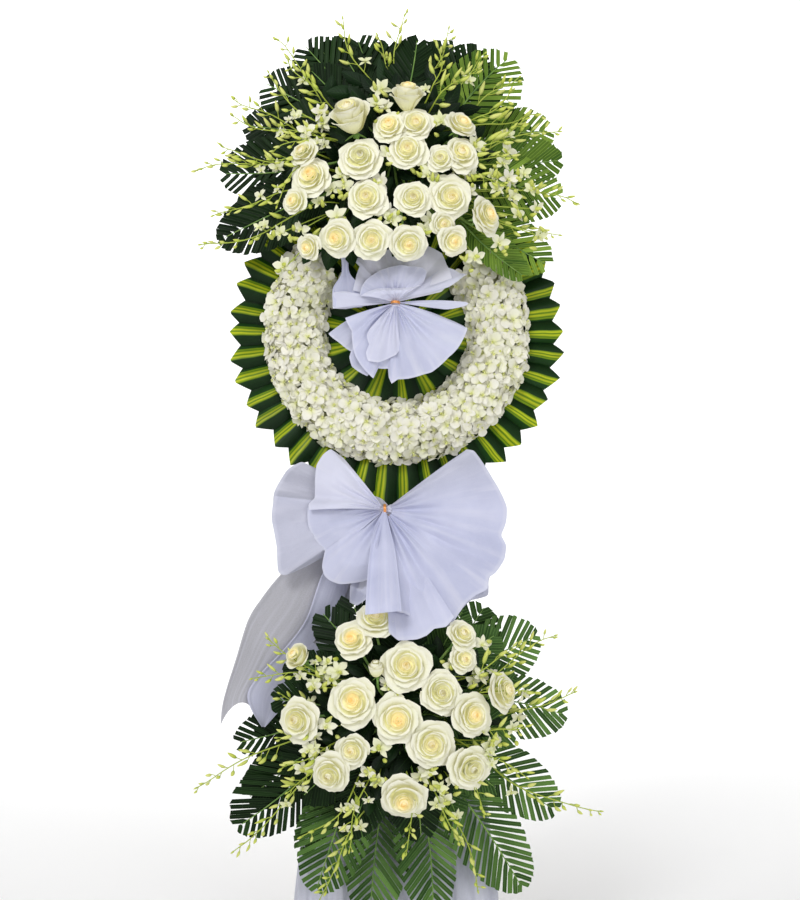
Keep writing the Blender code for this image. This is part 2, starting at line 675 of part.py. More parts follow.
def place_blooms(blooms, bouquet):
    """For each bloom: its middle, the way it faces, the way one petal points, its neighbour."""
    ways = [Vector((turned[0], -1.0, turned[1])).normalized() for *_, turned in blooms]
    middles = [Vector((x, bloom_depth(x, z, bouquet), z)) for x, z, *_ in blooms]
    places = []
    for i, middle in enumerate(middles):
        others = [k for k in range(len(blooms)) if k < i or (i == 0 and k == 1)]
        near = min(others, key=lambda k: (middles[k] - middle).length, default=None)
        beside = Vector((0.0, 0.0, 1.0)) if near is None else middles[near] - middle
        places.append((middle, ways[i], in_plane(beside, ways[i]), near))
    return places


def rose_mesh(name, bloom, place):
    """A rose as one closed form, with its petals in rings of five lobes."""
    centre, facing, petal, _ = place
    radius, shape = bloom[2], bloom[3]
    other = facing.cross(petal)
    form = bmesh.new()
    apex = form.verts.new(centre + facing * radius * ROSE_APEX[shape])
    foot = form.verts.new(centre + facing * radius * ROSE_FOOT[shape])
    rings = []
    for layer, (share, height, lobe) in enumerate(ROSE_PROFILES[shape]):
        ring = []
        for k in range(PETAL_SIDES):
            angle = 2 * math.pi * k / PETAL_SIDES
            notch = (k + (layer + 1) // 2) % 2
            out = radius * share * (1.0 - lobe * notch)
            up = radius * (height - 0.4 * lobe * notch)
            way = petal * math.cos(angle) + other * math.sin(angle)
            ring.append(form.verts.new(centre + way * out + facing * up))
        rings.append(ring)
    for k in range(PETAL_SIDES):
        n = (k + 1) % PETAL_SIDES
        form.faces.new((apex, rings[0][k], rings[0][n]))
        form.faces.new((foot, rings[-1][n], rings[-1][k]))
    for low, high in zip(rings, rings[1:]):
        for k in range(PETAL_SIDES):
            n = (k + 1) % PETAL_SIDES
            form.faces.new((low[k], high[k], high[n]))
            form.faces.new((low[k], high[n], low[n]))
    return as_mesh(form, name)


def inside_bloom(bloom, place, way):
    """A point inside a bloom's outer petals, towards another bloom."""
    middle, facing = place[0], place[1]
    height = GUARD_HEIGHT[bloom[3]]
    return middle + (in_plane(way, facing) * GUARD_REACH + facing * height) * bloom[2]


def guard_petal(bloom, place, near_bloom, near_place):
    """An outer petal that two neighbouring blooms share."""
    link = near_place[0] - place[0]
    ends = (inside_bloom(bloom, place, link), inside_bloom(near_bloom, near_place, -link))
    facing = (place[1] + near_place[1]).normalized()
    middle = (ends[0] + ends[1]) / 2
    side = facing.cross(ends[1] - ends[0]).normalized() * GUARD_HALF_WIDTH
    form = bmesh.new()
    tips = [form.verts.new(end) for end in ends]
    offsets = (side, -facing * GUARD_THICKNESS, -side)
    ring = [form.verts.new(middle + offset + facing * GUARD_THICKNESS / 3) for offset in offsets]
    for k in range(3):
        n = (k + 1) % 3
        form.faces.new((tips[0], ring[k], ring[n]))
        form.faces.new((tips[1], ring[n], ring[k]))
    return as_mesh(form, "guard_petal")


def make_roses(bunches, bouquet):
    """One node for each bunch of touching blooms."""
    for name, blooms in bunches.items():
        places = place_blooms(blooms, bouquet)
        meshes = [rose_mesh(name, bloom, place) for bloom, place in zip(blooms, places)]
        for i in range(1, len(blooms)):
            near = places[i][3]
            meshes.append(guard_petal(blooms[i], places[i], blooms[near], places[near]))
        mesh = meshes[0] if len(meshes) == 1 else fuse(name, meshes)
        add_part(name, mesh, "rose_cream")


def make_stems(name, bunches, bouquet):
    """The rose stems of one bouquet: they spread from one handful in the foam."""
    root = Vector((bouquet.x, STEM_CORE_ROOT, bouquet.z))
    end = Vector((bouquet.x, STEM_CORE_END, bouquet.z))
    meshes = [rod_mesh("stem_core", [root, end], [STEM_CORE_RADIUS] * 2, 6)]
    start = Vector((bouquet.x, STEM_CORE_END + STEM_NECK, bouquet.z))
    for blooms in bunches.values():
        for bloom, (centre, facing, _, _) in zip(blooms, place_blooms(blooms, bouquet)):
            foot = ROSE_FOOT[bloom[3]] * bloom[2]
            seat = centre + facing * (foot - TOUCH_GAP)
            flat = Vector((seat.x - bouquet.x, 0.0, seat.z - bouquet.z))
            points = [start + flat.normalized() * STEM_START_SPREAD, seat - facing * STEM_NECK, seat]
            radii = [STEM_RADIUS, STEM_RADIUS, CALYX_RADIUS * bloom[2] / 0.036]
            meshes.append(rod_mesh("stem", points, radii, 3))
    add_part(name, fuse(name, meshes), "stem_green")
    hole = [root + Vector((0.0, 0.0006, 0.0)), Vector((bouquet.x, FOAM_FRONT - 0.01, bouquet.z))]
    return rod_mesh(name + "_hole", hole, [STEM_CORE_RADIUS + 2 * HOLE_CLEARANCE] * 2, 6)


# Fronds

def frond_bend(x, z, box):
    """Fronds lean back beyond the foam. Every frond of a bouquet follows the same curve."""
    over_side = max(0.0, max(x - box[1], box[0] - x) - 0.02)
    over_end = max(0.0, max(z - box[3], box[2] - z) - 0.02)
    return FROND_BEND * (over_side ** 2 + over_end ** 2)


def frond_outline(length, half_width, hand, blocked):
    """Half of a trimmed frond: leaflets cut to the rib, with square ends on an oval."""
    middle, reach = FROND_OVAL_MIDDLE * length, FROND_OVAL_REACH * length
    roots, ends = [], []
    for k in range(FROND_LEAFLETS + 1):
        share = k / FROND_LEAFLETS
        taper = 1.0 - 0.6 * share ** 2
        root = Vector((length * (FROND_BARE + FROND_LEAFY * share), taper * FROND_PEG_WIDTH / 2))
        angle = math.radians(FROND_FIRST_ANGLE - FROND_ANGLE_TURN * share)
        way = Vector((math.cos(angle), math.sin(angle)))
        end = root + way * LEAFLET_SHORTEST
        while True:
            further = end + way * LEAFLET_STEP
            oval = ((further.x - middle) / reach) ** 2 + (further.y / half_width) ** 2
            if oval > 1.0 or blocked(further.x, hand * further.y):
                break
            end = further
        roots.append(root)
        ends.append(end)
    points = [(roots[0], True)]
    for k in range(FROND_LEAFLETS):
        points.append((ends[k].lerp(ends[k + 1], LEAFLET_GAP), False))
        points.append((ends[k].lerp(ends[k + 1], 1.0 - LEAFLET_GAP), False))
        points.append((roots[k + 1], True))
    tip = (Vector((middle + reach, half_width * 0.10)), False)
    return [(Vector((point.x, hand * point.y)), rib) for point, rib in points + [tip]]


def frond_blade(form, spec, box):
    """One frond: a thin blade with a thicker rib, and a peg that enters the foam."""
    root, tip, half_width, depth = spec
    root, tip = Vector(root), Vector(tip)
    along = (tip - root).normalized()
    across = Vector((-along.y, along.x))

    def blocked(out, side):
        flat = root + along * out + across * side
        beside = box[0] - FROND_ROOM < flat.x < box[1] + FROND_ROOM
        return beside and box[2] - FROND_ROOM < flat.y < box[3] + FROND_ROOM

    length = (tip - root).length
    left = frond_outline(length, half_width, 1.0, blocked)
    right = frond_outline(length, half_width, -1.0, blocked)
    peg_left = (Vector((-FROND_DEPTH_IN_FOAM, FROND_PEG_WIDTH / 2)), True)
    peg_right = (Vector((-FROND_DEPTH_IN_FOAM, -FROND_PEG_WIDTH / 2)), True)
    outline = [peg_left] + left + list(reversed(right)) + [peg_right]
    front, back = [], []
    for point, rib in outline:
        place = root + along * point.x + across * point.y
        y = depth + frond_bend(place.x, place.y, box)
        thick = FROND_RIB_THICKNESS if rib else FROND_TIP_THICKNESS
        back.append(form.verts.new((place.x, y, place.y)))
        front.append(form.verts.new((place.x, y - thick, place.y)))
    flat = [form.verts.new((v.co.x, 0.0, v.co.z)) for v in back]
    face = form.faces.new(flat)
    face.normal_update()
    split = bmesh.ops.triangulate(form, faces=[face], ngon_method="EAR_CLIP")
    order = {vert: k for k, vert in enumerate(flat)}
    triangles = [[order[vert] for vert in part.verts] for part in split["faces"]]
    bmesh.ops.delete(form, geom=flat, context="VERTS")
    for a, b, c in triangles:
        form.faces.new((back[a], back[b], back[c]))
        form.faces.new((front[c], front[b], front[a]))
    for k in range(len(outline)):
        n = (k + 1) % len(outline)
        form.faces.new((back[k], front[k], front[n]))
        form.faces.new((back[k], front[n], back[n]))


def make_fronds(fronds, box):
    """One node for each frond, or for two that share a peg. Returns the holes for the pegs."""
    holes = []
    for name, specs in fronds.items():
        meshes = []
        for spec in specs:
            form = bmesh.new()
            frond_blade(form, spec, box)
            meshes.append(as_mesh(form, name))
        if len(specs) == 2:
            meshes.append(shared_peg(name, specs))
            holes.append(shared_peg_hole(name, specs))
            mesh = fuse(name, meshes)
        else:
            mesh = meshes[0]
        holes += [peg_hole(f"{name}_{i}", spec) for i, spec in enumerate(specs)]
        add_part(name, mesh, "palm_green")
    return holes


def peg_hole(name, spec):
    """A slot round one frond's peg, open at the foam's side."""
    root, tip = Vector(spec[0]), Vector(spec[1])
    along = (tip - root).normalized()
    half = FROND_PEG_WIDTH / 2 + HOLE_CLEARANCE
    form = bmesh.new()
    bmesh.ops.create_cube(form, size=1.0)
    across = Vector((-along.y, along.x))
    start = -FROND_DEPTH_IN_FOAM - HOLE_CLEARANCE
    for vert in form.verts:
        far = HOLE_RUN_OUT if vert.co.x > 0 else start
        flat = root + along * far + across * (half if vert.co.z > 0 else -half)
        front = spec[3] - FROND_RIB_THICKNESS - HOLE_CLEARANCE
        y = spec[3] + HOLE_CLEARANCE if vert.co.y > 0 else front
        vert.co = Vector((flat.x, y, flat.y))
    return as_mesh(form, name + "_hole")


def peg_corners(specs, room):
    """The block that holds two fronds' roots, in the foam behind one face."""
    roots = [Vector(spec[0]) for spec in specs]
    depths = [spec[3] for spec in specs]
    side = 1.0 if roots[0].x > 0 else -1.0
    inner = roots[0].x - side * (SHARED_PEG_INNER + room)
    outer = roots[0].x - side * SHARED_PEG_OUTER
    if room > 0:
        outer = roots[0].x + side * HOLE_RUN_OUT
    low = min(root.y for root in roots) - SHARED_PEG_OUTER - room
    high = max(root.y for root in roots) + SHARED_PEG_OUTER + room
    front = min(depths) - FROND_RIB_THICKNESS - 0.001 - room
    back = max(depths) + 0.001 + room
    return (min(inner, outer), front, low), (max(inner, outer), back, high)


def shared_peg(name, specs):
    """The foot that two fronds grow from."""
    low, high = peg_corners(specs, 0.0)
    return box_mesh(name + "_peg", low, high)


def shared_peg_hole(name, specs):
    """A slot round a shared foot."""
    low, high = peg_corners(specs, HOLE_CLEARANCE)
    return box_mesh(name + "_hole", low, high)


# Sprays

def spray_line(root, out, beside, tip, bow):
    """Points of a spray: from its foot in the foam, then zigzag from bud to bud."""
    start = Vector(root) + out * 0.006 + beside
    along = Vector(tip) - start
    side = Vector((-along.y, along.x)).normalized()
    flats = [(start - out * 0.003, 0.0, SPRAY_RADIUS), (start, 0.0, SPRAY_RADIUS)]
    bare = start + along * SPRAY_BARE + side * bow * 4 * SPRAY_BARE * (1 - SPRAY_BARE)
    flats.append((bare, SPRAY_BARE, SPRAY_RADIUS))
    for k in range(SPRAY_BUDS):
        share = SPRAY_FIRST_BUD + (0.96 - SPRAY_FIRST_BUD) * k / (SPRAY_BUDS - 1)
        hand = 1.0 if k % 2 else -1.0
        size = BUD_RADIUS * (1.30 - 0.70 * share)
        half = along.normalized() * size * 1.7
        middle = start + along * share + side * (bow * 4 * share * (1 - share) + hand * size * 1.5)
        lean = side * hand * size * 0.8
        flats.append((middle - half - lean, share, SPRAY_RADIUS * (1.0 - 0.5 * share)))
        flats.append((middle, share, size))
    flats.append((middle + half * 1.4, 1.0, SPRAY_RADIUS * 0.35))
    points, radii = [], []
    for flat, share, radius in flats:
        forward = SPRAY_FORWARD * min(1.0, share / 0.45)
        y = SPRAY_ROOT_Y - forward - SPRAY_DROOP * share ** 2
        points.append(Vector((flat.x, y, flat.y)))
        radii.append(radius)
    return points, radii


def spray_meshes(root, out, beside, tip, bow, draw):
    """A stem with an open bloom low down and buds out to its tip."""
    points, radii = spray_line(root, out, beside, tip, bow)
    facing = Vector((draw.uniform(-0.3, 0.3), -1.0, draw.uniform(-0.3, 0.3))).normalized()
    seat = points[2] + facing * SPRAY_BLOOM_SEAT
    bloom = floret_mesh("floret", seat, facing, SPRAY_BLOOM_RADIUS, draw.uniform(0.0, 1.2))
    return [rod_mesh("spray_stem", points, radii, 3), bloom]


def spray_out(root, tips):
    """The way that a group of sprays leaves the foam."""
    middle = Vector((0.0, 0.0))
    for tip in tips:
        middle += (Vector(tip) - Vector(root)).normalized()
    return middle.normalized()


def make_sprays(sprays, seed):
    """One node for each group of sprays on one foot. Returns the holes for the feet."""
    draw = random.Random(seed)
    holes = []
    for name, (root, tips) in sprays.items():
        out = spray_out(root, tips)
        meshes = [spray_foot(name, root, out, SPRAY_FOOT, 0.0)]
        across = Vector((-out.y, out.x))
        fan = sorted(tips, key=lambda tip: (Vector(tip) - Vector(root)).normalized().dot(across))
        for i, tip in enumerate(fan):
            turn = 2 * i / (len(fan) - 1) - 1
            beside = across * SPRAY_FOOT * turn / 2
            bow = SPRAY_BOW * turn * draw.uniform(0.7, 1.3)
            meshes += spray_meshes(root, out, beside, tip, bow, draw)
        add_part(name, fuse(name, meshes, "MANIFOLD"), "bud_lime")
        hole_radius = SPRAY_FOOT + 1.5 * HOLE_CLEARANCE
        holes.append(spray_foot(name + "_hole", root, out, hole_radius, 0.012))
    return holes


def spray_foot(name, root, out, radius, extra):
    """The bound foot of a group of sprays, square in section."""
    inner = Vector(root) - out * (SPRAY_DEPTH_IN_FOAM + (radius - SPRAY_FOOT))
    outer = Vector(root) + out * (0.008 + extra)
    points = [Vector((p.x, SPRAY_ROOT_Y, p.y)) for p in (inner, outer)]
    return rod_mesh(name, points, [radius] * 2, 4)


# Foam blocks

def make_foam(name, box, holes):
    """A block of floral foam with a plain hole for each stem."""
    group = bpy.data.collections.new("cutters_" + name)
    CUTTERS.children.link(group)
    for hole in holes:
        add_cutter(hole.name, hole, group)
    low = (box[0], FOAM_FRONT, box[2])
    high = (box[1], FOAM_BACK, box[3])
    foam = add_part(name, box_mesh(name, low, high), "foam_green")
    cut = foam.modifiers.new("stem_holes", "BOOLEAN")
    cut.operation = "DIFFERENCE"
    cut.operand_type = "COLLECTION"
    cut.collection = group
    cut.solver = "EXACT"
    return foam


# Bows

def lobe_reach(edge, angle):
    """The lobe's reach at an angle between two that are given."""
    for (low, near), (high, far) in zip(edge, edge[1:]):
        if angle <= high:
            return near + (far - near) * (angle - low) / (high - low)
    return edge[-1][1]


def lobe_mesh(name, knot, lobe):
    """A gathered lobe of ribbon that spreads from the knot in folds."""
    edge, forward, fullness, folds = lobe
    columns = max(4, 2 * folds + 1)
    first, last = edge[0][0], edge[-1][0]

    def place(i, j, face):
        across = i / (columns - 1)
        out = j / (LOBE_ROWS - 1)
        angle = math.radians(first + (last - first) * across)
        reach = LOBE_START + (lobe_reach(edge, math.degrees(angle)) - LOBE_START) * out
        lift = -forward * math.sin(math.pi * 0.62 * out)
        fold = LOBE_FOLD * out * (1 if i % 2 else -1)
        half = BOW_SHEET / 2 + fullness * math.sin(math.pi * out) * math.sin(math.pi * across)
        y = knot.y + lift + fold + face * half
        return Vector((knot.x + reach * math.cos(angle), y, knot.z + reach * math.sin(angle)))

    return two_faced_mesh(name, columns, LOBE_ROWS, lambda i, j: place(i, j, -1.0),
                          lambda i, j: place(i, j, 1.0))


def tail_mesh():
    """The long ribbon end that falls to the left, folded along its length."""
    rows = len(TAIL_DEPTHS)

    def place(i, j, face):
        across = i / (TAIL_COLUMNS - 1)
        left, right = Vector(TAIL_LEFT_EDGE[j]), Vector(TAIL_RIGHT_EDGE[j])
        flat = left.lerp(right, across)
        fold = TAIL_FOLD * (1 if i % 2 else -1) * min(1.0, j / 2)
        return Vector((flat.x, TAIL_DEPTHS[j] + fold + face * BOW_SHEET / 2, flat.y))

    return two_faced_mesh("tail", TAIL_COLUMNS, rows, lambda i, j: place(i, j, -1.0),
                          lambda i, j: place(i, j, 1.0))


def tie_meshes(name, knot, wire, pick, back):
    """A ring of wire round the knot, and the pick that fastens it to the stand."""
    form = bmesh.new()
    rings = []
    for k in range(TIE_TURNS):
        angle = 2 * math.pi * k / TIE_TURNS
        way = Vector((0.0, math.cos(angle), math.sin(angle)))
        ring = []
        for m in range(TIE_SIDES):
            turn = 2 * math.pi * m / TIE_SIDES
            spoke = way * (TIE_RING + wire * math.cos(turn))
            ring.append(form.verts.new(knot + spoke + Vector((wire * math.sin(turn), 0.0, 0.0))))
        rings.append(ring)
    for k in range(TIE_TURNS):
        low, high = rings[k], rings[(k + 1) % TIE_TURNS]
        for m in range(TIE_SIDES):
            n = (m + 1) % TIE_SIDES
            form.faces.new((low[m], low[n], high[n], high[m]))
    ring_mesh = as_mesh(form, name + "_ring")
    start = Vector((knot.x, knot.y + TIE_RING, knot.z))
    end = Vector((knot.x, back, knot.z))
    return [ring_mesh, rod_mesh(name + "_pick", [start, end], [pick] * 2, 6)]


def make_bow(name, knot, lobes, extra, tie_back):
    """A bow fused at its knot, with its tie. Returns a hole for the tie's pick."""
    form = bmesh.new()
    bmesh.ops.create_icosphere(form, subdivisions=1, radius=KNOT_RADIUS,
                               matrix=Matrix.Translation(knot))
    meshes = [as_mesh(form, name + "_knot")]
    meshes += [lobe_mesh(f"{name}_lobe", knot, lobe) for lobe in lobes]
    bow = add_part(name, fuse(name, meshes + extra), "ribbon_white")
    group = bpy.data.collections.new("cutters_" + name)
    CUTTERS.children.link(group)
    room = HOLE_CLEARANCE
    for mesh in tie_meshes(name + "_cut", knot, TIE_WIRE + room, PICK_RADIUS + room, 0.02):
        add_cutter(mesh.name, mesh, group)
    cut = bow.modifiers.new("tie_groove", "BOOLEAN")
    cut.operation = "DIFFERENCE"
    cut.operand_type = "COLLECTION"
    cut.collection = group
    cut.solver = "EXACT"
    tie = fuse(name + "_tie", tie_meshes(name + "_tie", knot, TIE_WIRE, PICK_RADIUS, tie_back))
    add_part(name + "_tie", tie, "tie_orange")


def cut_rosette(rosette):
    """The hole that the upper bow's pick passes through."""
    group = bpy.data.collections.new("cutters_rosette")
    CUTTERS.children.link(group)
    start = Vector((UPPER_KNOT.x, -0.05, UPPER_KNOT.z))
    end = Vector((UPPER_KNOT.x, 0.02, UPPER_KNOT.z))
    hole = rod_mesh("rosette_hole", [start, end], [PICK_RADIUS + HOLE_CLEARANCE] * 2, 6)
    add_cutter("rosette_hole", hole, group)
    cut = rosette.modifiers.new("pick_hole", "BOOLEAN")
    cut.operation = "DIFFERENCE"
    cut.operand_type = "COLLECTION"
    cut.collection = group
    cut.solver = "EXACT"


# Skirt

def skirt_line(level):
    """The skirt's folded line at a level, from its left back edge round the front."""
    half = SKIRT_FLOOR_HALF + (SKIRT_TOP_HALF - SKIRT_FLOOR_HALF) * level
    fold = SKIRT_FOLD * (1.0 - 0.45 * level)
    line = []
    for k in range(SKIRT_SIDE_FOLDS):
        out = fold if k % 2 else -fold
        run = 1.0 - k / SKIRT_SIDE_FOLDS
        line.append((-half - out, SKIRT_FRONT + SKIRT_SIDE_RETURN * run))
    for k in range(SKIRT_FRONT_FOLDS + 1):
        inner = fold if k % 2 else -fold
        line.append((half * (2 * k / SKIRT_FRONT_FOLDS - 1), SKIRT_FRONT + inner))
    line += [(-x, y) for x, y in reversed(line[:SKIRT_SIDE_FOLDS])]
    return [Vector(point) for point in line]


def beside_line(line, i, distance):
    """A point beside a bent line, square to it."""
    before, after = line[max(i - 1, 0)], line[min(i + 1, len(line) - 1)]
    along = (after - before).normalized()
    return line[i] + Vector((along.y, -along.x)) * distance


def make_skirt(top):
    """White cloth round the feet, hung under the lower rail in soft folds."""
    lines = [skirt_line(0.0), skirt_line(1.0)]

    def place(i, j, face):
        flat = beside_line(lines[j], i, face * SKIRT_SHEET / 2)
        low = (SKIRT_FLOOR_CLEARANCE + flat.y * math.sin(LEAN)) / math.cos(LEAN)
        return Vector((flat.x, flat.y, top if j else low))

    mesh = two_faced_mesh("base_skirt", len(lines[0]), len(lines),
                          lambda i, j: place(i, j, 1.0), lambda i, j: place(i, j, -1.0))
    add_part("base_skirt", mesh, "skirt_white")


def middle_of(box):
    """The middle of a foam block, on its front."""
    return Vector(((box[0] + box[1]) / 2, FOAM_FRONT, (box[2] + box[3]) / 2))


def make_bouquet(place, box, fronds, bunches, sprays, seed):
    """A foam block with its fronds, roses and sprays."""
    bouquet = middle_of(box)
    holes = make_fronds(fronds, box)
    make_roses(bunches, bouquet)
    holes.append(make_stems("stems_" + place, bunches, bouquet))
    holes += make_sprays(sprays, seed)
    make_foam("foam_" + place, box, holes)


def main():
    """Build the stand from the floor up."""
    make_front_leg("leg_front_left", -1.0)
    make_front_leg("leg_front_right", 1.0)
    make_rear_leg()
    for name, sizes in RAILS.items():
        make_rail(name, *sizes)
    make_board()
    rosette = make_leaves()
    cut_rosette(rosette)
    make_garland()
    make_bow("bow_upper", UPPER_KNOT, UPPER_LOBES, [], -TOUCH_GAP)
    make_bow("bow_lower", LOWER_KNOT, LOWER_LOBES, [tail_mesh()], -TOUCH_GAP)
    make_bouquet("top", FOAM_TOP, TOP_FRONDS, TOP_BUNCHES, TOP_SPRAYS, 11)
    make_bouquet("bottom", FOAM_BOTTOM, BOTTOM_FRONDS, BOTTOM_BUNCHES, BOTTOM_SPRAYS, 23)
    make_skirt(LOWER_RAIL_BOTTOM - TOUCH_GAP)


main()
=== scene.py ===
"""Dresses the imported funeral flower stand: petals, leaves, sheer ribbon, cloth and wood."""

import math
import random

import bpy
import numpy as np
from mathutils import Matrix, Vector


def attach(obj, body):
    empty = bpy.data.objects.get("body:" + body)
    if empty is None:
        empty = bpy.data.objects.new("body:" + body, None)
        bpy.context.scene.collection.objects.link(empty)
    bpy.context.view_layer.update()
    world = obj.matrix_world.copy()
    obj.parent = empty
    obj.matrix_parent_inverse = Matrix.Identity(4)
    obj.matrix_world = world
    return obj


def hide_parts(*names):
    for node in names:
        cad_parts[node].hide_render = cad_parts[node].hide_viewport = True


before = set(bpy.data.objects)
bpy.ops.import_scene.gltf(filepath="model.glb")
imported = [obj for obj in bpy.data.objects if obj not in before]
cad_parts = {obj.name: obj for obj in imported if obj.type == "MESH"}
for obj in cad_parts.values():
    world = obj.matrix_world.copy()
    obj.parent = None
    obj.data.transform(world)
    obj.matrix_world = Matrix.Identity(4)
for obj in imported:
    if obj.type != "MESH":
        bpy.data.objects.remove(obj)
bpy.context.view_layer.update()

# The easel's leaning plane in metres: x right, y back through the board, z up along it
LEAN = math.radians(6.5)
FOOT_LINE_Y = -0.137
RING_Z = 1.195
GOLDEN = math.radians(137.508)
FULL_TURN = 2 * math.pi
NO_BEND = (0.0, 0.0, 0.0)

# Places along a bud and its width at each of them
DROP_FORM = ((0.0, 0.18), (0.10, 0.66), (0.28, 0.98), (0.50, 1.0), (0.72, 0.74), (0.90, 0.36), (1.0, 0.06))
LONG_FORM = ((0.0, 0.22), (0.08, 0.55), (0.22, 0.86), (0.42, 1.0), (0.64, 0.90), (0.84, 0.60), (0.95, 0.30),
             (1.0, 0.05))


def to_room(points):
    """Points of the leaning plane in the room's frame."""
    y, z = points[..., 1], points[..., 2]
    room = points.copy()
    room[..., 1] = FOOT_LINE_Y + y * math.cos(LEAN) + z * math.sin(LEAN)
    room[..., 2] = -y * math.sin(LEAN) + z * math.cos(LEAN)
    return room


def unit(v):
    """A direction of length one."""
    v = np.asarray(v, float)
    return v / max(np.linalg.norm(v), 1e-9)


def across(facing, up=(0.0, 0.0, 1.0)):
    """Two directions square to the given one: to its right and up."""
    up = np.asarray(up, float)
    if abs(np.dot(unit(up), facing)) > 0.97:
        up = np.array((1.0, 0.0, 0.0))
    right = unit(np.cross(up, -facing))
    top = np.cross(-facing, right)
    return right, unit(top) * (1 if np.dot(top, up) > 0 else -1)


def rows_and_columns(rows, columns, left=-1.0):
    """Shares down the rows from 0 to 1, and across the columns from the left value to 1."""
    return np.linspace(0, 1, rows)[:, None], np.linspace(left, 1, columns)[None, :]


def smooth_line(points, count):
    """A smooth line through points."""
    p = np.asarray(points, float)
    ends = np.vstack([2 * p[0] - p[1], p, 2 * p[-1] - p[-2]])
    at = np.linspace(0, len(p) - 1 - 1e-9, count)
    i = at.astype(int)
    t = (at - i)[:, None]
    a, b, c, d = ends[i], ends[i + 1], ends[i + 2], ends[i + 3]
    return 0.5 * (2 * b + (c - a) * t + (2 * a - 5 * b + 4 * c - d) * t ** 2
                  + (3 * b - a - 3 * c + d) * t ** 3)


class Shape:
    """Collects curved sheets and tubes, then makes one mesh of them."""

    def __init__(self):
        self.points, self.quads, self.values, self.slots = [], [], [], []
        self.size = 0

    def grid(self, points, u, v, tint=0.0, deep=0.0, slot=0, closed=False):
        """A sheet over rows and columns of points."""
        rows, columns = points.shape[:2]
        index = np.arange(rows * columns).reshape(rows, columns) + self.size
        if closed:
            left, right = index, np.roll(index, -1, axis=1)
        else:
            left, right = index[:, :-1], index[:, 1:]
        quads = np.stack([left[:-1], right[:-1], right[1:], left[1:]], axis=-1).reshape(-1, 4)
        values = np.empty((rows, columns, 4))
        for k, value in enumerate((u, v, tint, deep)):
            values[..., k] = value
        self.points.append(points.reshape(-1, 3))
        self.values.append(values.reshape(-1, 4))
        self.quads.append(quads)
        self.slots.append(np.full(len(quads), slot))
        self.size += rows * columns

    def tube(self, points, radii, sides=6, tint=0.0, deep=0.0, slot=0):
        """A round rod along a line."""
        p = np.asarray(points, float)
        radii = np.broadcast_to(np.asarray(radii, float), (len(p),))
        along = np.gradient(p, axis=0)
        along /= np.maximum(np.linalg.norm(along, axis=1), 1e-9)[:, None]
        side = unit(np.cross(along[0], (0.3, 1.0, 0.2)))
        rings = []
        turn = np.linspace(0, FULL_TURN, sides, endpoint=False)
        for i in range(len(p)):
            side = unit(side - along[i] * np.dot(side, along[i]))
            other = np.cross(along[i], side)
            rings.append(p[i] + radii[i] * (np.cos(turn)[:, None] * side + np.sin(turn)[:, None] * other))
        v, u = rows_and_columns(len(p), sides, 0.0)
        self.grid(np.array(rings), u, v, tint, deep, slot, closed=True)

    def pod(self, form, base, along, bend, length, radius, tint=0.0, slot=0, sides=7):
        """A bud of the given form that bends to one side."""
        s, widths = np.array(form).T
        line = (np.asarray(base) + np.outer(s * length, unit(along))
                + np.outer((s ** 2) * length * 0.45, unit(bend)))
        self.tube(line, radius * widths, sides, tint, (1 - s)[:, None], slot)

    def petal(self, base, along, side, up, length, width, rise=0.1, cup=0.2, broad=0.62, tip=0.3,
              tint=0.0, slot=0, rows=6, columns=5):
        """A leaf or petal: rise lifts its tip, cup lifts its edges, broad is its widest place."""
        v, u = rows_and_columns(rows, columns)
        power = math.log(0.5) / math.log(broad)
        wide = np.sin(math.pi * np.clip(v, 0.02, 0.985) ** power) ** tip
        x = u * wide * width / 2
        z = rise * length * v ** 2 + cup * width / 2 * (u * wide) ** 2
        p = (np.asarray(base) + (v * length * np.ones_like(u))[..., None] * along
             + x[..., None] * side + (z * np.ones_like(x))[..., None] * up)
        self.grid(p, u, v, tint, 1 - v, slot)

    def build(self, name, nodes, materials):
        """Make the mesh, which rides on the stand and stands for the given nodes."""
        points = to_room(np.concatenate(self.points))
        quads = np.concatenate(self.quads).astype(np.int32)
        values = np.concatenate(self.values).astype(np.float32)
        mesh = bpy.data.meshes.new(name)
        mesh.vertices.add(len(points))
        mesh.vertices.foreach_set("co", points.astype(np.float32).ravel())
        mesh.loops.add(quads.size)
        mesh.loops.foreach_set("vertex_index", quads.ravel())
        mesh.polygons.add(len(quads))
        mesh.polygons.foreach_set("loop_start", np.arange(0, quads.size, 4, dtype=np.int32))
        mesh.polygons.foreach_set("material_index", np.concatenate(self.slots).astype(np.int32))
        mesh.polygons.foreach_set("use_smooth", np.ones(len(quads), bool))
        corners = mesh.uv_layers.new(name="UVMap")
        corners.data.foreach_set("uv", values[quads.ravel(), :2].ravel())
        for k, label in ((2, "tint"), (3, "deep")):
            attribute = mesh.attributes.new(label, "FLOAT", "POINT")
            attribute.data.foreach_set("value", values[:, k].copy())
        mesh.update()
        piece = bpy.data.objects.new(name, mesh)
        for material in materials:
            mesh.materials.append(material)
        bpy.context.scene.collection.objects.link(piece)
        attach(piece, "root")
        if nodes:
            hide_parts(*nodes)
        return piece


# Materials

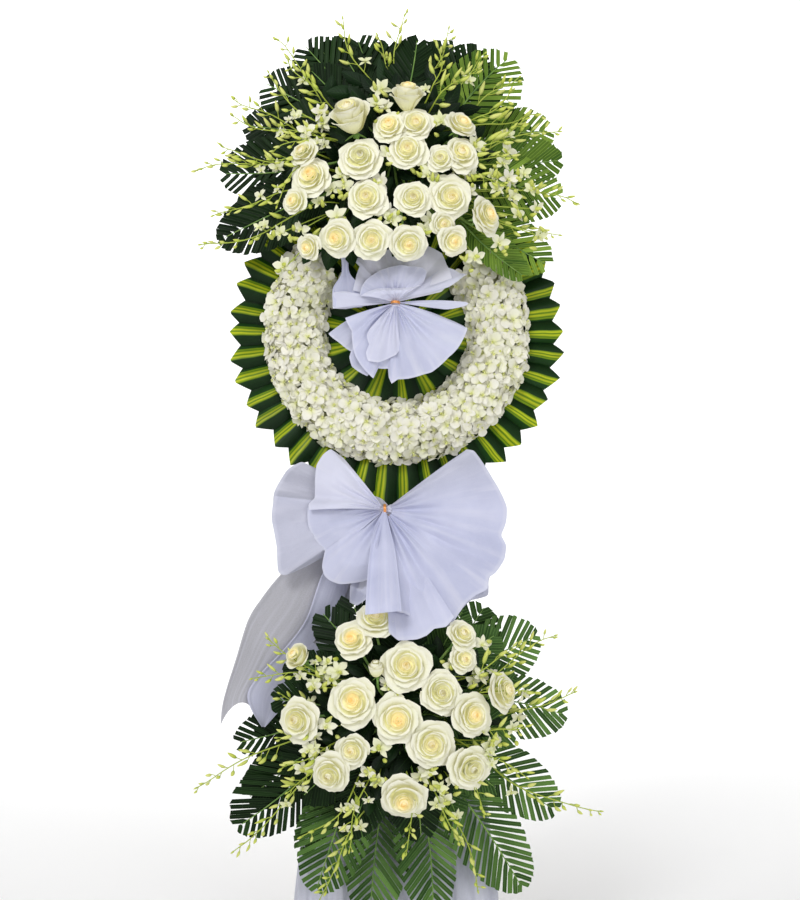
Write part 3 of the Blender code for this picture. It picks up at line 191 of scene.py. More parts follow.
class Paint:
    """One material, built from shader nodes. Its methods give the sockets of the nodes that they add."""

    def __init__(self, name, roughness, **sockets):
        self.material = bpy.data.materials.new(name)
        self.material.use_nodes = True
        self.tree = self.material.node_tree
        self.shader = self.tree.nodes["Principled BSDF"]
        self.shader.inputs["Roughness"].default_value = roughness
        for label, value in sockets.items():
            self.shader.inputs[label.replace("_", " ")].default_value = value

    def add(self, kind, inputs=None, **settings):
        node = self.tree.nodes.new(kind)
        for key, value in settings.items():
            setattr(node, key, value)
        for key, value in (inputs or {}).items():
            if isinstance(value, bpy.types.NodeSocket):
                self.tree.links.new(value, node.inputs[key])
            else:
                node.inputs[key].default_value = value
        return node

    def value(self, name):
        """A value stored on the mesh: tint or deep."""
        return self.add("ShaderNodeAttribute", attribute_name=name).outputs["Fac"]

    def place(self):
        return self.add("ShaderNodeUVMap", uv_map="UVMap").outputs[0]

    def u_and_v(self):
        parts = self.add("ShaderNodeSeparateXYZ", {0: self.place()})
        return parts.outputs[0], parts.outputs[1]

    def maths(self, operation, first, second=0.0):
        return self.add("ShaderNodeMath", {0: first, 1: second}, operation=operation).outputs[0]

    def spread(self, value, low, high, to_low=0.0, to_high=1.0):
        """The value's run from low to high, as a run from to_low to to_high."""
        return self.add("ShaderNodeMapRange", {0: value, 1: low, 2: high, 3: to_low, 4: to_high}).outputs[0]

    def ramp(self, value, stops):
        """Colours along a value."""
        node = self.add("ShaderNodeValToRGB", {"Fac": value})
        bar = node.color_ramp
        while len(bar.elements) < len(stops):
            bar.elements.new(0.5)
        for element, (place, colour) in zip(bar.elements, stops):
            element.position = place
            element.color = (*colour, 1.0)
        return node.outputs["Color"]

    def mix(self, share, first, second):
        """A share of the second colour over the first."""
        first, second = ((*c, 1.0) if isinstance(c, tuple) else c for c in (first, second))
        return self.add("ShaderNodeMix", {0: share, 6: first, 7: second}, data_type="RGBA").outputs[2]

    def over(self, base, colour, value, low, high, most=1.0):
        """More of a colour over the base, up to the given share, as a value runs from low to high."""
        return self.mix(self.spread(value, low, high, 0.0, most), base, colour)

    def noise(self, scale, detail, stretch=None, vector=None, roughness=0.5):
        """Noise in metres, or over another vector."""
        if vector is None:
            vector = self.add("ShaderNodeTexCoord").outputs["Object"]
        if stretch:
            vector = self.add("ShaderNodeMapping", {"Vector": vector, "Scale": stretch}).outputs[0]
        return self.add("ShaderNodeTexNoise", {"Vector": vector, "Scale": scale, "Detail": detail,
                                               "Roughness": roughness}).outputs["Fac"]

    def streaks(self, across_scale, along_scale, detail):
        """Noise that follows the petal, leaf or ribbon."""
        return self.noise(1.0, detail, (across_scale, along_scale, 1.0), self.place())

    def finish(self, colour, height, strength, distance):
        """Join the colour and the fine relief to the shader."""
        self.tree.links.new(colour, self.shader.inputs["Base Color"])
        relief = self.add("ShaderNodeBump", {"Height": height, "Strength": strength, "Distance": distance})
        self.tree.links.new(relief.outputs[0], self.shader.inputs["Normal"])
        return self.material


def rose_material():
    """Cream petals, yellower and a little darker towards the foot, partly as painted shade, with a warm heart
    and a painted glow, strongest there, that stands in for light through the thin petals.
    """
    paint = Paint("rose_petal", 0.60, Sheen_Weight=0.10, Specular_IOR_Level=0.20, Emission_Strength=0.20)
    inner = paint.value("tint")
    # Painted glow: the emission colour, strongest in the warm heart, lifts the shade between the petals
    painted_glow = paint.over((0.25, 0.23, 0.15), (0.95, 0.78, 0.40), inner, 0.15, 0.85)
    paint.tree.links.new(painted_glow, paint.shader.inputs["Emission Color"])
    # Towards each petal's foot the colour turns yellower and a little darker: partly the petals' own yellow
    # base, partly painted shade in the hollows between the rings
    body = paint.ramp(paint.value("deep"), [(0.0, (0.82, 0.81, 0.70)), (0.16, (0.83, 0.82, 0.66)),
                                            (0.45, (0.84, 0.83, 0.54)), (1.0, (0.80, 0.78, 0.34))])
    body = paint.over(body, (0.92, 0.82, 0.50), inner, 0.28, 0.80, 0.80)
    body = paint.over(body, (0.95, 0.72, 0.30), inner, 0.55, 1.0, 0.80)
    body = paint.over(body, (0.78, 0.81, 0.56), paint.noise(30.0, 2.0), 0.48, 0.78, 0.30)
    return paint.finish(body, paint.streaks(9.0, 1.4, 4.0), 0.14, 0.0010)


def orchid_material():
    paint = Paint("orchid_petal", 0.50, Sheen_Weight=0.10, Specular_IOR_Level=0.25)
    body = paint.ramp(paint.value("deep"), [(0.0, (0.83, 0.815, 0.73)), (0.55, (0.83, 0.81, 0.68)),
                                            (0.82, (0.80, 0.80, 0.50)), (1.0, (0.66, 0.70, 0.24))])
    body = paint.over(body, (0.76, 0.80, 0.40), paint.value("tint"), 0.5, 2.0, 0.70)
    return paint.finish(body, paint.streaks(7.0, 1.2, 3.0), 0.22, 0.001)


def throat_material():
    paint = Paint("orchid_throat", 0.45)
    spots = paint.noise(600.0, 1.0)
    body = paint.ramp(paint.value("deep"), [(0.0, (0.86, 0.85, 0.55)), (0.5, (0.70, 0.74, 0.22)),
                                            (1.0, (0.42, 0.50, 0.08))])
    body = paint.over(body, (0.50, 0.36, 0.10), spots, 0.60, 0.72, 0.5)
    return paint.finish(body, spots, 0.2, 0.0006)


def bud_material():
    paint = Paint("spray_bud", 0.42, Specular_IOR_Level=0.45)
    specks = paint.noise(260.0, 2.0)
    body = paint.ramp(paint.value("deep"), [(0.0, (0.62, 0.66, 0.12)), (0.6, (0.50, 0.58, 0.07)),
                                            (1.0, (0.24, 0.36, 0.04))])
    body = paint.over(body, (0.74, 0.75, 0.26), paint.value("tint"), 0.2, 1.0, 0.7)
    body = paint.over(body, (0.26, 0.38, 0.06), specks, 0.55, 0.8, 0.4)
    return paint.finish(body, specks, 0.15, 0.0005)


def stem_material():
    paint = Paint("stem_green", 0.5)
    patches = paint.noise(70.0, 3.0, (1.0, 1.0, 0.3))
    body = paint.ramp(patches, [(0.3, (0.10, 0.22, 0.04)), (0.55, (0.20, 0.36, 0.07)),
                                (0.8, (0.34, 0.46, 0.12))])
    return paint.finish(body, patches, 0.3, 0.0008)


def frond_material(name, dark, bright):
    """A leaflet: painted highlights along its edges, a paler rib, and fine lines along it."""
    paint = Paint(name, 0.42, Specular_IOR_Level=0.10)
    lines = paint.streaks(16.0, 0.6, 2.0)
    edge = paint.maths("ABSOLUTE", paint.u_and_v()[0])
    edge_highlight, rib_tone = (tuple(min(1.0, c * gain + 0.02) for c in bright) for gain in (1.7, 1.4))
    body = paint.mix(paint.value("tint"), dark, bright)
    body = paint.over(body, bright, lines, 0.4, 0.7, 0.30)
    # Painted highlight: the leaflet's edges are painted paler, as if catching the light
    body = paint.over(body, edge_highlight, edge, 0.72, 1.0, 0.5)
    body = paint.mix(paint.spread(edge, 0.0, 0.14, 0.6, 0.0), body, rib_tone)
    body = paint.over(body, dark, paint.noise(9.0, 2.0), 0.35, 0.7, 0.5)
    return paint.finish(body, lines, 0.35, 0.0006)


def striped_leaf_material():
    """A long leaf, dark on one flank, with a lime and yellow band beside its fold.

    Tint moves the band from leaf to leaf, and deep makes it wider.
    """
    paint = Paint("striped_leaf", 0.34, Specular_IOR_Level=0.16)
    wave = paint.spread(paint.streaks(0.6, 2.4, 2.0), 0.0, 1.0, -0.12, 0.12)
    moved = paint.spread(paint.value("tint"), 0.0, 1.0, -0.16, 0.16)
    at = paint.maths("ADD", paint.maths("ADD", paint.u_and_v()[0], wave), moved)
    at = paint.maths("MULTIPLY", paint.maths("ADD", at, -0.16),
                     paint.spread(paint.value("deep"), 0.0, 1.0, 1.00, 0.58))
    dark, lime = (0.002, 0.010, 0.003), (0.215, 0.340, 0.010)
    gold, line = (0.58, 0.61, 0.020), (0.065, 0.16, 0.008)
    body = paint.ramp(paint.spread(at, -1.0, 1.0), [
        (0.0, dark), (0.355, (0.007, 0.030, 0.005)), (0.385, lime), (0.430, gold), (0.462, lime),
        (0.474, line), (0.488, lime), (0.520, gold), (0.560, lime), (0.574, line), (0.590, lime),
        (0.612, lime), (0.635, (0.012, 0.052, 0.008)), (1.0, dark)])
    fine = paint.streaks(26.0, 1.2, 3.0)
    body = paint.over(body, (0.014, 0.058, 0.008), fine, 0.42, 0.70, 0.35)
    body = paint.over(body, dark, paint.noise(12.0, 2.0), 0.45, 0.75, 0.35)
    return paint.finish(body, fine, 0.45, 0.0008)


def broad_leaf_material():
    """A dark leaf with side veins that run forward from its rib."""
    paint = Paint("broad_leaf", 0.42, Specular_IOR_Level=0.20)
    u, v = paint.u_and_v()
    edge = paint.maths("ABSOLUTE", u)
    slant = paint.maths("ADD", paint.maths("MULTIPLY", v, 9.0), paint.maths("MULTIPLY", edge, -2.5))
    veins = paint.maths("SINE", paint.maths("MULTIPLY", slant, 6.28))
    body = paint.mix(paint.value("tint"), (0.003, 0.011, 0.004), (0.009, 0.032, 0.007))
    body = paint.over(body, (0.018, 0.055, 0.012), veins, 0.86, 1.0, 0.35)
    body = paint.mix(paint.spread(edge, 0.0, 0.06, 0.6, 0.0), body, (0.030, 0.080, 0.022))
    return paint.finish(body, veins, 0.2, 0.0005)


def organza_material(name, alpha):
    """Sheer stiff ribbon with a lilac tone: tint paints it paler, as painted light, and deep paints it
    greyer, as painted shade; creases and the outer rim get painted highlights.
    """
    paint = Paint(name, 0.55, Alpha=alpha, Sheen_Weight=0.20, Sheen_Roughness=0.4, Specular_IOR_Level=0.25)
    v = paint.u_and_v()[1]
    weave = paint.maths("ADD", paint.streaks(700.0, 24.0, 2.0), paint.streaks(24.0, 500.0, 2.0))
    creases = paint.streaks(9.0, 1.2, 3.0)
    body = paint.over((0.455, 0.48, 0.68), (0.595, 0.615, 0.81), paint.noise(10.0, 3.0), 0.32, 0.68)
    # Painted shade: deep greys the ribbon, lobe by lobe and strip by strip
    body = paint.over(body, (0.345, 0.34, 0.36), paint.value("deep"), 0.0, 1.0)
    # Painted light: tint makes the ribbon paler, lobe by lobe
    body = paint.over(body, (0.76, 0.76, 0.87), paint.value("tint"), 0.0, 1.2, 0.96)
    body = paint.over(body, (0.70, 0.71, 0.83), weave, 0.85, 1.15, 0.20)
    # Painted highlights: pale streaks on the crease ridges, more towards the outer edge
    pale = paint.maths("MULTIPLY", paint.spread(creases, 0.50, 0.64), paint.spread(v, 0.25, 0.95, 0.0, 0.45))
    body = paint.mix(pale, body, (0.74, 0.74, 0.86))
    # Painted highlight: a paler band along the outer rim of each lobe
    rim_highlight = paint.maths("MULTIPLY", paint.spread(v, 0.960, 0.980), paint.spread(v, 1.0, 1.02, 1.0, 0.0))
    body = paint.mix(paint.maths("MULTIPLY", rim_highlight, 0.35), body, (0.76, 0.77, 0.88))
    near_knot = paint.maths("MULTIPLY", paint.spread(v, 0.0, 0.2), paint.spread(v, 0.25, 0.85, 1.0, 0.12))
    crumple = paint.maths("MULTIPLY", paint.noise(24.0, 3.0), paint.spread(v, 0.35, 0.95, 0.0, 0.40))
    height = paint.maths("ADD", paint.maths("MULTIPLY", creases, near_knot),
                         paint.maths("MULTIPLY", weave, 0.05))
    return paint.finish(body, paint.maths("ADD", height, crumple), 0.40, 0.004)


def skirt_material():
    paint = Paint("skirt_cloth", 0.7, Sheen_Weight=0.2, Sheen_Roughness=0.4)
    weave = paint.noise(900.0, 2.0)
    body = paint.over((0.47, 0.48, 0.58), (0.60, 0.61, 0.70), paint.noise(11.0, 3.0), 0.3, 0.7)
    body = paint.over(body, (0.70, 0.71, 0.78), weave, 0.4, 0.6, 0.2)
    crease = paint.noise(20.0, 4.0, (1.0, 1.0, 0.5))
    return paint.finish(body, paint.maths("ADD", crease, paint.maths("MULTIPLY", weave, 0.06)), 0.5, 0.006)


def wood_material(name, light, dark, scale):
    """Wood with its grain along z."""
    paint = Paint(name, 0.62)
    grain = paint.noise(scale, 5.0, (14.0, 14.0, 0.7), roughness=0.65)
    body = paint.ramp(grain, [(0.30, dark), (0.50, light), (0.72, tuple(c * 1.12 for c in light))])
    body = paint.over(body, dark, paint.noise(scale * 0.4, 2.0, (5.0, 5.0, 0.3)), 0.45, 0.62, 0.35)
    return paint.finish(body, grain, 0.3, 0.0008)


def foam_material():
    paint = Paint("wet_foam", 0.95)
    pores = paint.noise(900.0, 2.0)
    body = paint.over((0.006, 0.020, 0.006), (0.016, 0.045, 0.012), paint.noise(30.0, 3.0), 0.3, 0.7)
    body = paint.over(body, (0.01, 0.03, 0.01), pores, 0.55, 0.7, 0.6)
    return paint.finish(body, pores, 0.5, 0.001)


def wire_material():
    paint = Paint("tie_wire", 0.35, Metallic=0.6)
    patches = paint.noise(300.0, 2.0)
    return paint.finish(paint.mix(patches, (0.80, 0.30, 0.08), (0.90, 0.45, 0.16)), patches, 0.2, 0.0004)


ROSE = rose_material()
ORCHID = orchid_material()
THROAT = throat_material()
BUD = bud_material()
STEM = stem_material()
PALM_DARK = frond_material("palm_dark", (0.002, 0.008, 0.002), (0.018, 0.052, 0.010))
PALM_MID = frond_material("palm_mid", (0.011, 0.040, 0.008), (0.140, 0.275, 0.060))
PALM_BRIGHT = frond_material("palm_bright", (0.034, 0.095, 0.010), (0.250, 0.390, 0.050))
STRIPED = striped_leaf_material()
BROAD = broad_leaf_material()
ORGANZA = organza_material("organza", 0.92)
RIBBON_END = organza_material("organza_end", 1.0)
SKIRT = skirt_material()
WIRE = wire_material()
FOAM = foam_material()
LEG_WOOD = wood_material("easel_wood", (0.56, 0.40, 0.23), (0.36, 0.23, 0.12), 5.0)
BOARD_WOOD = wood_material("board_wood", (0.50, 0.37, 0.24), (0.32, 0.22, 0.13), 4.0)

# The bouquets: their middles, and their foam from left to right and from its foot up
BOUQUETS = {
    "top": {"middle": (-0.0075, 1.530), "box": (-0.120, 0.105, 1.420, 1.640)},
    "bottom": {"middle": (0.0, 0.4525), "box": (-0.115, 0.115, 0.345, 0.560)},
}
# Blooms in millimetres: place across and up the board and radius, then form, and how far each turns
# to the right and up
BLOOMS = {
    "roses_top_crown": [
        (21, 1608, 34, "goblet", 0.1, 1.3), (36, 1567, 34, "open", 0.0, 0.25),
        (-13, 1560, 33, "small", -0.2, 0.3), (21, 1513, 36, "open", 0.0, 0.0)],
    "roses_top_left": [
        (-84, 1568, 42, "goblet", -0.35, 0.9), (-70, 1498, 40, "open", -0.1, 0.1),
        (-55, 1423, 37, "open", 0.0, 0.0)],
    "roses_top_far_left": [
        (-177, 1515, 29, "small", -0.6, 0.5), (-164, 1466, 38, "open", -0.3, 0.1),
        (-195, 1422, 26, "small", -0.6, 0.0)],
    "roses_top_right": [
        (125, 1568, 32, "small", 0.6, 0.7), (124, 1509, 34, "small", 0.3, 0.2),
        (86, 1499, 28, "small", -0.1, 0.1)],
    "roses_top_far_right": [
        (32, 1421, 34, "open", 0.0, 0.0), (103, 1426, 40, "open", 0.1, 0.0),
        (174, 1392, 35, "open", 1.1, 0.2), (91, 1374, 25, "small", 0.2, -0.4),
        (109, 1341, 29, "small", 0.3, -0.5)],
    "roses_top_low": [
        (-168, 1331, 25, "small", -0.7, -0.4), (-112, 1350, 34, "open", -0.3, -0.3),
        (-47, 1345, 35, "open", 0.0, -0.3), (21, 1336, 35, "open", 0.1, -0.5)],
    "roses_bottom_crown": [(-38, 628, 36, "open", 0.0, 0.6), (-79, 591, 36, "open", -0.2, 0.4)],
    "roses_bottom_left_bud": [(-179, 556, 29, "cup", -0.8, 0.7)],
    "roses_bottom_right": [
        (-36, 530, 18, "bud", -0.2, 1.8), (19, 542, 45, "open", 0.0, 0.2), (83, 493, 38, "open", 0.2, 0.1),
        (141, 449, 38, "open", 0.5, 0.1), (199, 492, 36, "open", 1.2, 0.3)],
    "roses_bottom_back_right": [(124, 598, 29, "small", 0.5, 0.5), (124, 554, 27, "small", 0.4, 0.1)],
    "roses_bottom_far_left": [(-181, 441, 38, "open", -0.4, -0.1)],
    "roses_bottom_middle": [
        (-79, 475, 43, "open", -0.2, 0.1), (0, 444, 43, "open", 0.0, 0.0), (66, 398, 42, "open", 0.1, -0.1),
        (137, 355, 40, "open", 0.4, -0.2)],
    "roses_bottom_low_left": [(-80, 387, 32, "small", -0.2, -0.2), (-122, 345, 36, "open", -0.3, -0.3)],
    "roses_bottom_low": [(13, 301, 43, "open", 0.0, -0.5)],
}
# Each form of rose, in rings from the heart out. A ring has its number of petals, then pairs for its first
# and its last petal: reach, rim height, half width in degrees, openness, and how far the rim closes over
# the heart. The last two rings reach down to the foot.
ROSE_FORMS = {
    "open": [
        (7, 0.08, 0.22, 0.46, 0.42, 128, 86, 0.0, 0.1, 0.90, 0.30),
        (4, 0.25, 0.33, 0.43, 0.38, 78, 68, 0.2, 0.4, 0.1, 0),
        (4, 0.38, 0.47, 0.37, 0.31, 70, 62, 0.45, 0.6, 0, 0),
        (5, 0.56, 0.68, 0.27, 0.18, 58, 53, 0.70, 0.8, 0, 0),
        (5, 0.76, 0.88, 0.12, 0.04, 52, 49, 0.90, 1.0, 0, 0),
        (6, 0.96, 1.06, -0.05, -0.13, 47, 44, 1.0, 1.15, 0, 0)],
    "small": [
        (7, 0.10, 0.28, 0.46, 0.41, 128, 86, 0.0, 0.1, 0.90, 0.30),
        (4, 0.33, 0.42, 0.40, 0.35, 74, 64, 0.35, 0.5, 0.1, 0),
        (5, 0.50, 0.60, 0.32, 0.26, 60, 54, 0.65, 0.75, 0, 0),
        (5, 0.70, 0.82, 0.20, 0.12, 53, 48, 0.80, 0.95, 0, 0),
        (6, 0.90, 1.06, 0.04, -0.08, 46, 42, 1.0, 1.1, 0, 0)],
    "cup": [
        (6, 0.12, 0.28, 0.74, 0.70, 125, 90, 0.0, 0.1, 0.85, 0.3),
        (4, 0.36, 0.46, 0.69, 0.63, 76, 66, 0.2, 0.35, 0.1, 0),
        (5, 0.56, 0.68, 0.58, 0.48, 62, 56, 0.45, 0.6, 0, 0),
        (5, 0.78, 0.96, 0.40, 0.20, 54, 48, 0.75, 0.95, 0, 0)],
    "goblet": [
        (6, 0.12, 0.26, 1.08, 1.04, 125, 90, 0.0, 0.1, 0.85, 0.3),
        (4, 0.34, 0.44, 1.04, 0.98, 80, 70, 0.15, 0.3, 0.1, 0),
        (4, 0.52, 0.64, 0.98, 0.88, 72, 64, 0.3, 0.5, 0, 0),
        (5, 0.76, 1.00, 0.80, 0.48, 60, 54, 0.6, 0.9, 0, 0)],
    "bud": [
        (5, 0.16, 0.34, 1.36, 1.28, 120, 90, 0.0, 0.0, 0.9, 0.5),
        (4, 0.46, 0.60, 1.22, 1.06, 84, 74, 0.0, 0.15, 0.4, 0.2),
        (4, 0.68, 0.82, 0.92, 0.66, 72, 62, 0.1, 0.3, 0.2, 0)],
}
# Parts of a rose, as shares of its radius
BLOOM_GROWTH, HEART_SHIFT, ROSE_FOOT = 1.05, 0.09, -0.55
CALYX_SEAT, CALYX_FOOT, CALYX_LENGTH, CALYX_RADIUS = 0.62, 0.22, 0.27, 0.20
SEPAL_LENGTH, SEPAL_WIDTH = 0.62, 0.16
# Where the roses stand in the middle of a bouquet, and how far its dome falls back at its edge
ROSE_DEPTH, ROSE_DOME, DOME_REACH = -0.202, 0.026, 0.20


def place_of(where, bloom):
    """A bloom's middle, the way it faces and its radius: the bouquet is domed."""
    x, z, radius = (value / 1000 for value in bloom[:3])
    middle = BOUQUETS[where]["middle"]
    from_middle = math.hypot(x - middle[0], z - middle[1])
    y = ROSE_DEPTH + ROSE_DOME * min(1.0, from_middle / DOME_REACH) ** 2
    return np.array((x, y, z)), unit((bloom[4], -1.0, bloom[5])), radius


def petal_profile(s, reach, height, opened, close, to_foot):
    """A petal's distance from the middle and its height along its length, before its lip rolls."""
    open_share = min(opened, 1.0)
    if to_foot:
        p0 = (0.0, ROSE_FOOT)
        p1 = (reach * (0.95 - 0.60 * open_share) + 0.05, ROSE_FOOT + 0.10)
    else:
        p0 = (max(reach - 0.22, 0.35 * reach), height - 0.20)
        p1 = (reach * 0.94, height - 0.24 + 0.10 * opened)
    p2 = (reach * (1.14 - 0.40 * open_share), height - 0.16 + 0.13 * opened)
    a, b, c, d = (1 - s) ** 3, 3 * (1 - s) ** 2 * s, 3 * (1 - s) * s ** 2, s ** 3
    r = a * p0[0] + b * p1[0] + c * p2[0] + d * reach * (1 - 0.80 * close)
    return r, a * p0[1] + b * p1[1] + c * p2[1] + d * height


def rose(shape, centre, facing, radius, form, draw):
    """A rose: cupped petals in rings on a spiral, the outer ones broad, open and rolled at the lip."""
    first, second = across(facing)
    spin = draw.uniform(0, FULL_TURN)
    warmth = draw.uniform(0.25, 1.0) * (0.2 if form == "bud" else 1.0)
    shift = radius * (draw.uniform(-HEART_SHIFT, HEART_SHIFT) * first
                      + draw.uniform(-HEART_SHIFT, HEART_SHIFT) * second)
    v, u = rows_and_columns(9, 9)
    rings = ROSE_FORMS[form]
    turn = 0
    for ring, (count, *ends) in enumerate(rings):
        looseness = max(0.0, ends[6] - 0.6)
        for k in range(count):
            t = (k + 0.5 * draw.uniform(0.4, 1.0)) / count
            pairs = zip(ends[::2], ends[1::2])
            reach, height, wrap, opened, close = (low + (high - low) * t for low, high in pairs)
            reach = reach * draw.uniform(0.95 - 0.03 * looseness, 1.04 + 0.04 * looseness)
            height = height + draw.uniform(-0.03, 0.03)
            point_at = draw.uniform(-0.3, 0.3)
            corner_cut = 0.19 - 0.06 * min(opened, 1.0)
            point = 0.060 * opened * np.exp(-((u - point_at) / 0.16) ** 2)
            s = v * (1 - corner_cut * abs(u) ** 2.4 + point)
            r, h = petal_profile(s, reach, height, opened, close, ring >= len(rings) - 2)
            lip = np.clip((s - 0.72) / 0.28, 0, 1) ** 2
            r = r + lip * 0.04 * opened
            h = h - lip * 0.08 * opened - 0.07 * abs(u) ** 2.6 * v * opened
            phase = draw.uniform(0, 6)
            spiral = 0.036 * u * (1 - 0.5 * opened) * (1 - close)
            r = r + spiral + 0.038 * opened * np.sin(2.3 * u + phase) * v ** 3
            r = r + 0.016 * opened * np.sin(9.0 * u + 2 * phase) * v ** 6
            h = h + 0.034 * opened * np.sin(3.2 * u + 2 * phase) * v ** 3
            h = h + 0.022 * opened * np.sin(7.5 * u + phase) * v ** 6
            width = 0.35 + 0.65 * np.sin(math.pi * (0.12 + 0.60 * s))
            angle = spin + turn * GOLDEN + u * math.radians(wrap) * width
            middle = centre + shift * (1 - ring / (len(rings) - 1))
            points = middle + radius * ((r * np.cos(angle))[..., None] * first
                                        + (r * np.sin(angle))[..., None] * second + h[..., None] * facing)
            inner = 1 - (ring + t) / len(rings)
            shape.grid(points, u, v, inner ** 1.5 * warmth, np.clip(1 - s, 0, 1))
            turn += 1


def calyx(shape, centre, facing, radius, draw):
    """The green foot of a rose with its five narrow leaves."""
    seat = centre - facing * radius * CALYX_SEAT
    shape.pod(DROP_FORM, seat - facing * radius * CALYX_FOOT, facing, NO_BEND, radius * CALYX_LENGTH,
              radius * CALYX_RADIUS)
    first, second = across(facing)
    spin = draw.uniform(0, 6)
    for k in range(5):
        angle = spin + k * FULL_TURN / 5
        way = math.cos(angle) * first + math.sin(angle) * second
        along = unit(way * 0.9 + facing * draw.uniform(-0.8, 0.0))
        side = unit(np.cross(along, facing))
        shape.petal(seat, along, side, unit(np.cross(side, along)), radius * SEPAL_LENGTH,
                    radius * SEPAL_WIDTH, rise=draw.uniform(-0.3, 0.1), tip=0.7, rows=5, columns=3,
                    broad=0.35)


def make_roses():
    """The rose heads, one piece for each node."""
    for node, blooms in BLOOMS.items():
        draw = random.Random(node)
        shape = Shape()
        where = "top" if "_top_" in node else "bottom"
        for bloom in blooms:
            centre, facing, radius = place_of(where, bloom)
            rose(shape, centre, facing, radius * BLOOM_GROWTH, bloom[3], draw)
        shape.build(node.replace("roses", "petals"), [node], [ROSE])


# The rose stems: a handful that starts in the foam, and one stem from its front to each rose
STEM_RADIUS = 0.0026
HANDFUL_STEMS, HANDFUL_RADIUS = 19, 0.018
HANDFUL_DEPTHS = (-0.063, -0.09, -0.119)
STEM_ROOT_DEPTH, STEM_ROOT_OUT = -0.105, 0.014
STEM_SEAT, NECK_LENGTH, STEM_BELLY = 0.8, 0.022, 0.012
# Greenery between the blooms and the foam
FILLER_LEAVES, FILLER_REACH, FILLER_DEPTH, FILLER_DOME = 92, 0.172, -0.116, 0.046
INNER_FRONDS, INNER_ROOT, INNER_DEPTH, INNER_STEP = 15, 0.035, -0.110, 0.005
# Broad leaves beside each bouquet: foot, way and length
SIDE_LEAVES = {
    "top": [(-0.120, 1.385, -0.15, -1.0, 0.088), (-0.150, 1.375, -0.5, -1.0, 0.070),
            (-0.098, 1.372, 0.25, -1.0, 0.066)],
    "bottom": [(0.105, 0.520, 0.9, 0.25, 0.070), (0.100, 0.545, 0.6, 0.7, 0.060),
               (-0.090, 0.560, -0.5, 0.8, 0.060)],
}
SIDE_LEAF_DEPTH = -0.094
# Materials of the stems' piece, by slot
STEM_SLOT, LEAF_SLOT, DARK_SLOT, BRIGHT_SLOT = range(4)


def filler_leaves(shape, middle, draw):
    """Dark leaves on a dome behind the blooms."""
    for i in range(FILLER_LEAVES):
        share = math.sqrt((i + 0.5) / FILLER_LEAVES)
        angle = i * GOLDEN
        x = middle[0] + FILLER_REACH * share * math.cos(angle)
        z = middle[1] + FILLER_REACH * share * math.sin(angle)
        y = FILLER_DEPTH - FILLER_DOME * (1 - share ** 2) + draw.uniform(-0.010, 0.012)
        out = unit((math.cos(angle) + draw.uniform(-0.8, 0.8), -0.55 * (1 - share) - 0.15,
                    math.sin(angle) + draw.uniform(-0.8, 0.8)))
        side = unit(np.cross(out, (draw.uniform(-0.5, 0.5), 1.0, draw.uniform(-0.5, 0.5))))
        length = draw.uniform(0.042, 0.066)
        shape.petal(np.array((x, y, z)) - out * length * 0.4, out, side, unit(np.cross(side, out)), length,
                    length * 0.48, rise=draw.uniform(-0.15, 0.1), cup=draw.uniform(0.1, 0.5), tip=0.75,
                    tint=draw.uniform(0, 1), slot=LEAF_SLOT, rows=7, columns=5, broad=0.45)


def inner_fronds(shape, where, draw):
    """Short fronds that fan out in front of the foam, behind the blooms."""
    middle = np.array(BOUQUETS[where]["middle"])
    for k in range(INNER_FRONDS):
        a = FULL_TURN * (k + 0.5) / INNER_FRONDS + draw.uniform(-0.12, 0.12)
        way = np.array((math.cos(a), math.sin(a)))
        over_the_bow = where == "top" and way[1] < -0.72
        if over_the_bow:
            continue
        bright = way[0] > 0.25
        far = draw.uniform(0.165, 0.190) if bright and where == "top" else draw.uniform(0.215, 0.245)
        half_width, depth = draw.uniform(0.050, 0.062), INNER_DEPTH - INNER_STEP * (k % 4)
        frond(shape, middle + way * INNER_ROOT, middle + way * far, half_width, depth, None, draw,
              slot=BRIGHT_SLOT if bright else DARK_SLOT, rib=STEM_SLOT, broad=SECOND_BROAD)


def make_stems():
    """Rose stems from one handful in the foam, with calyxes and dark leaves."""
    for where, seed, bright in (("top", 3, PALM_BRIGHT), ("bottom", 5, PALM_MID)):
        draw = random.Random(seed)
        shape = Shape()
        x0, z0 = BOUQUETS[where]["middle"]
        for k in range(HANDFUL_STEMS):
            r, a = HANDFUL_RADIUS * math.sqrt(k / HANDFUL_STEMS), k * GOLDEN
            x, z = x0 + r * math.cos(a), z0 + r * math.sin(a)
            shape.tube([(x, y, z) for y in HANDFUL_DEPTHS], STEM_RADIUS)
        for node, blooms in BLOOMS.items():
            if f"_{where}_" not in node:
                continue
            for bloom in blooms:
                centre, facing, radius = place_of(where, bloom)
                seat = centre - facing * radius * STEM_SEAT
                way = unit((seat[0] - x0, 0, seat[2] - z0))
                start = np.array((x0, STEM_ROOT_DEPTH, z0)) + way * STEM_ROOT_OUT
                neck = seat - facing * NECK_LENGTH
                middle = (start + neck) / 2 + np.array((0, -STEM_BELLY, 0))
                shape.tube(smooth_line([start, middle, neck, seat], 9), STEM_RADIUS)
                calyx(shape, centre, facing, radius, draw)
        filler_leaves(shape, (x0, z0), draw)
        for x, z, across_x, across_z, length in SIDE_LEAVES[where]:
            out = unit((across_x, -0.12, across_z))
            side = unit(np.cross(out, (0.15, 1.0, 0.1)))
            shape.petal((x, SIDE_LEAF_DEPTH, z), out, side, unit(np.cross(side, out)), length, length * 0.50,
                        rise=-0.10, cup=0.35, tip=0.8, tint=0.8, slot=LEAF_SLOT, rows=9, columns=7,
                        broad=0.45)
        inner_fronds(shape, where, draw)
        shape.build(f"bloom_stems_{where}", [f"stems_{where}"],
                    [STEM, BROAD, PALM_DARK, bright])


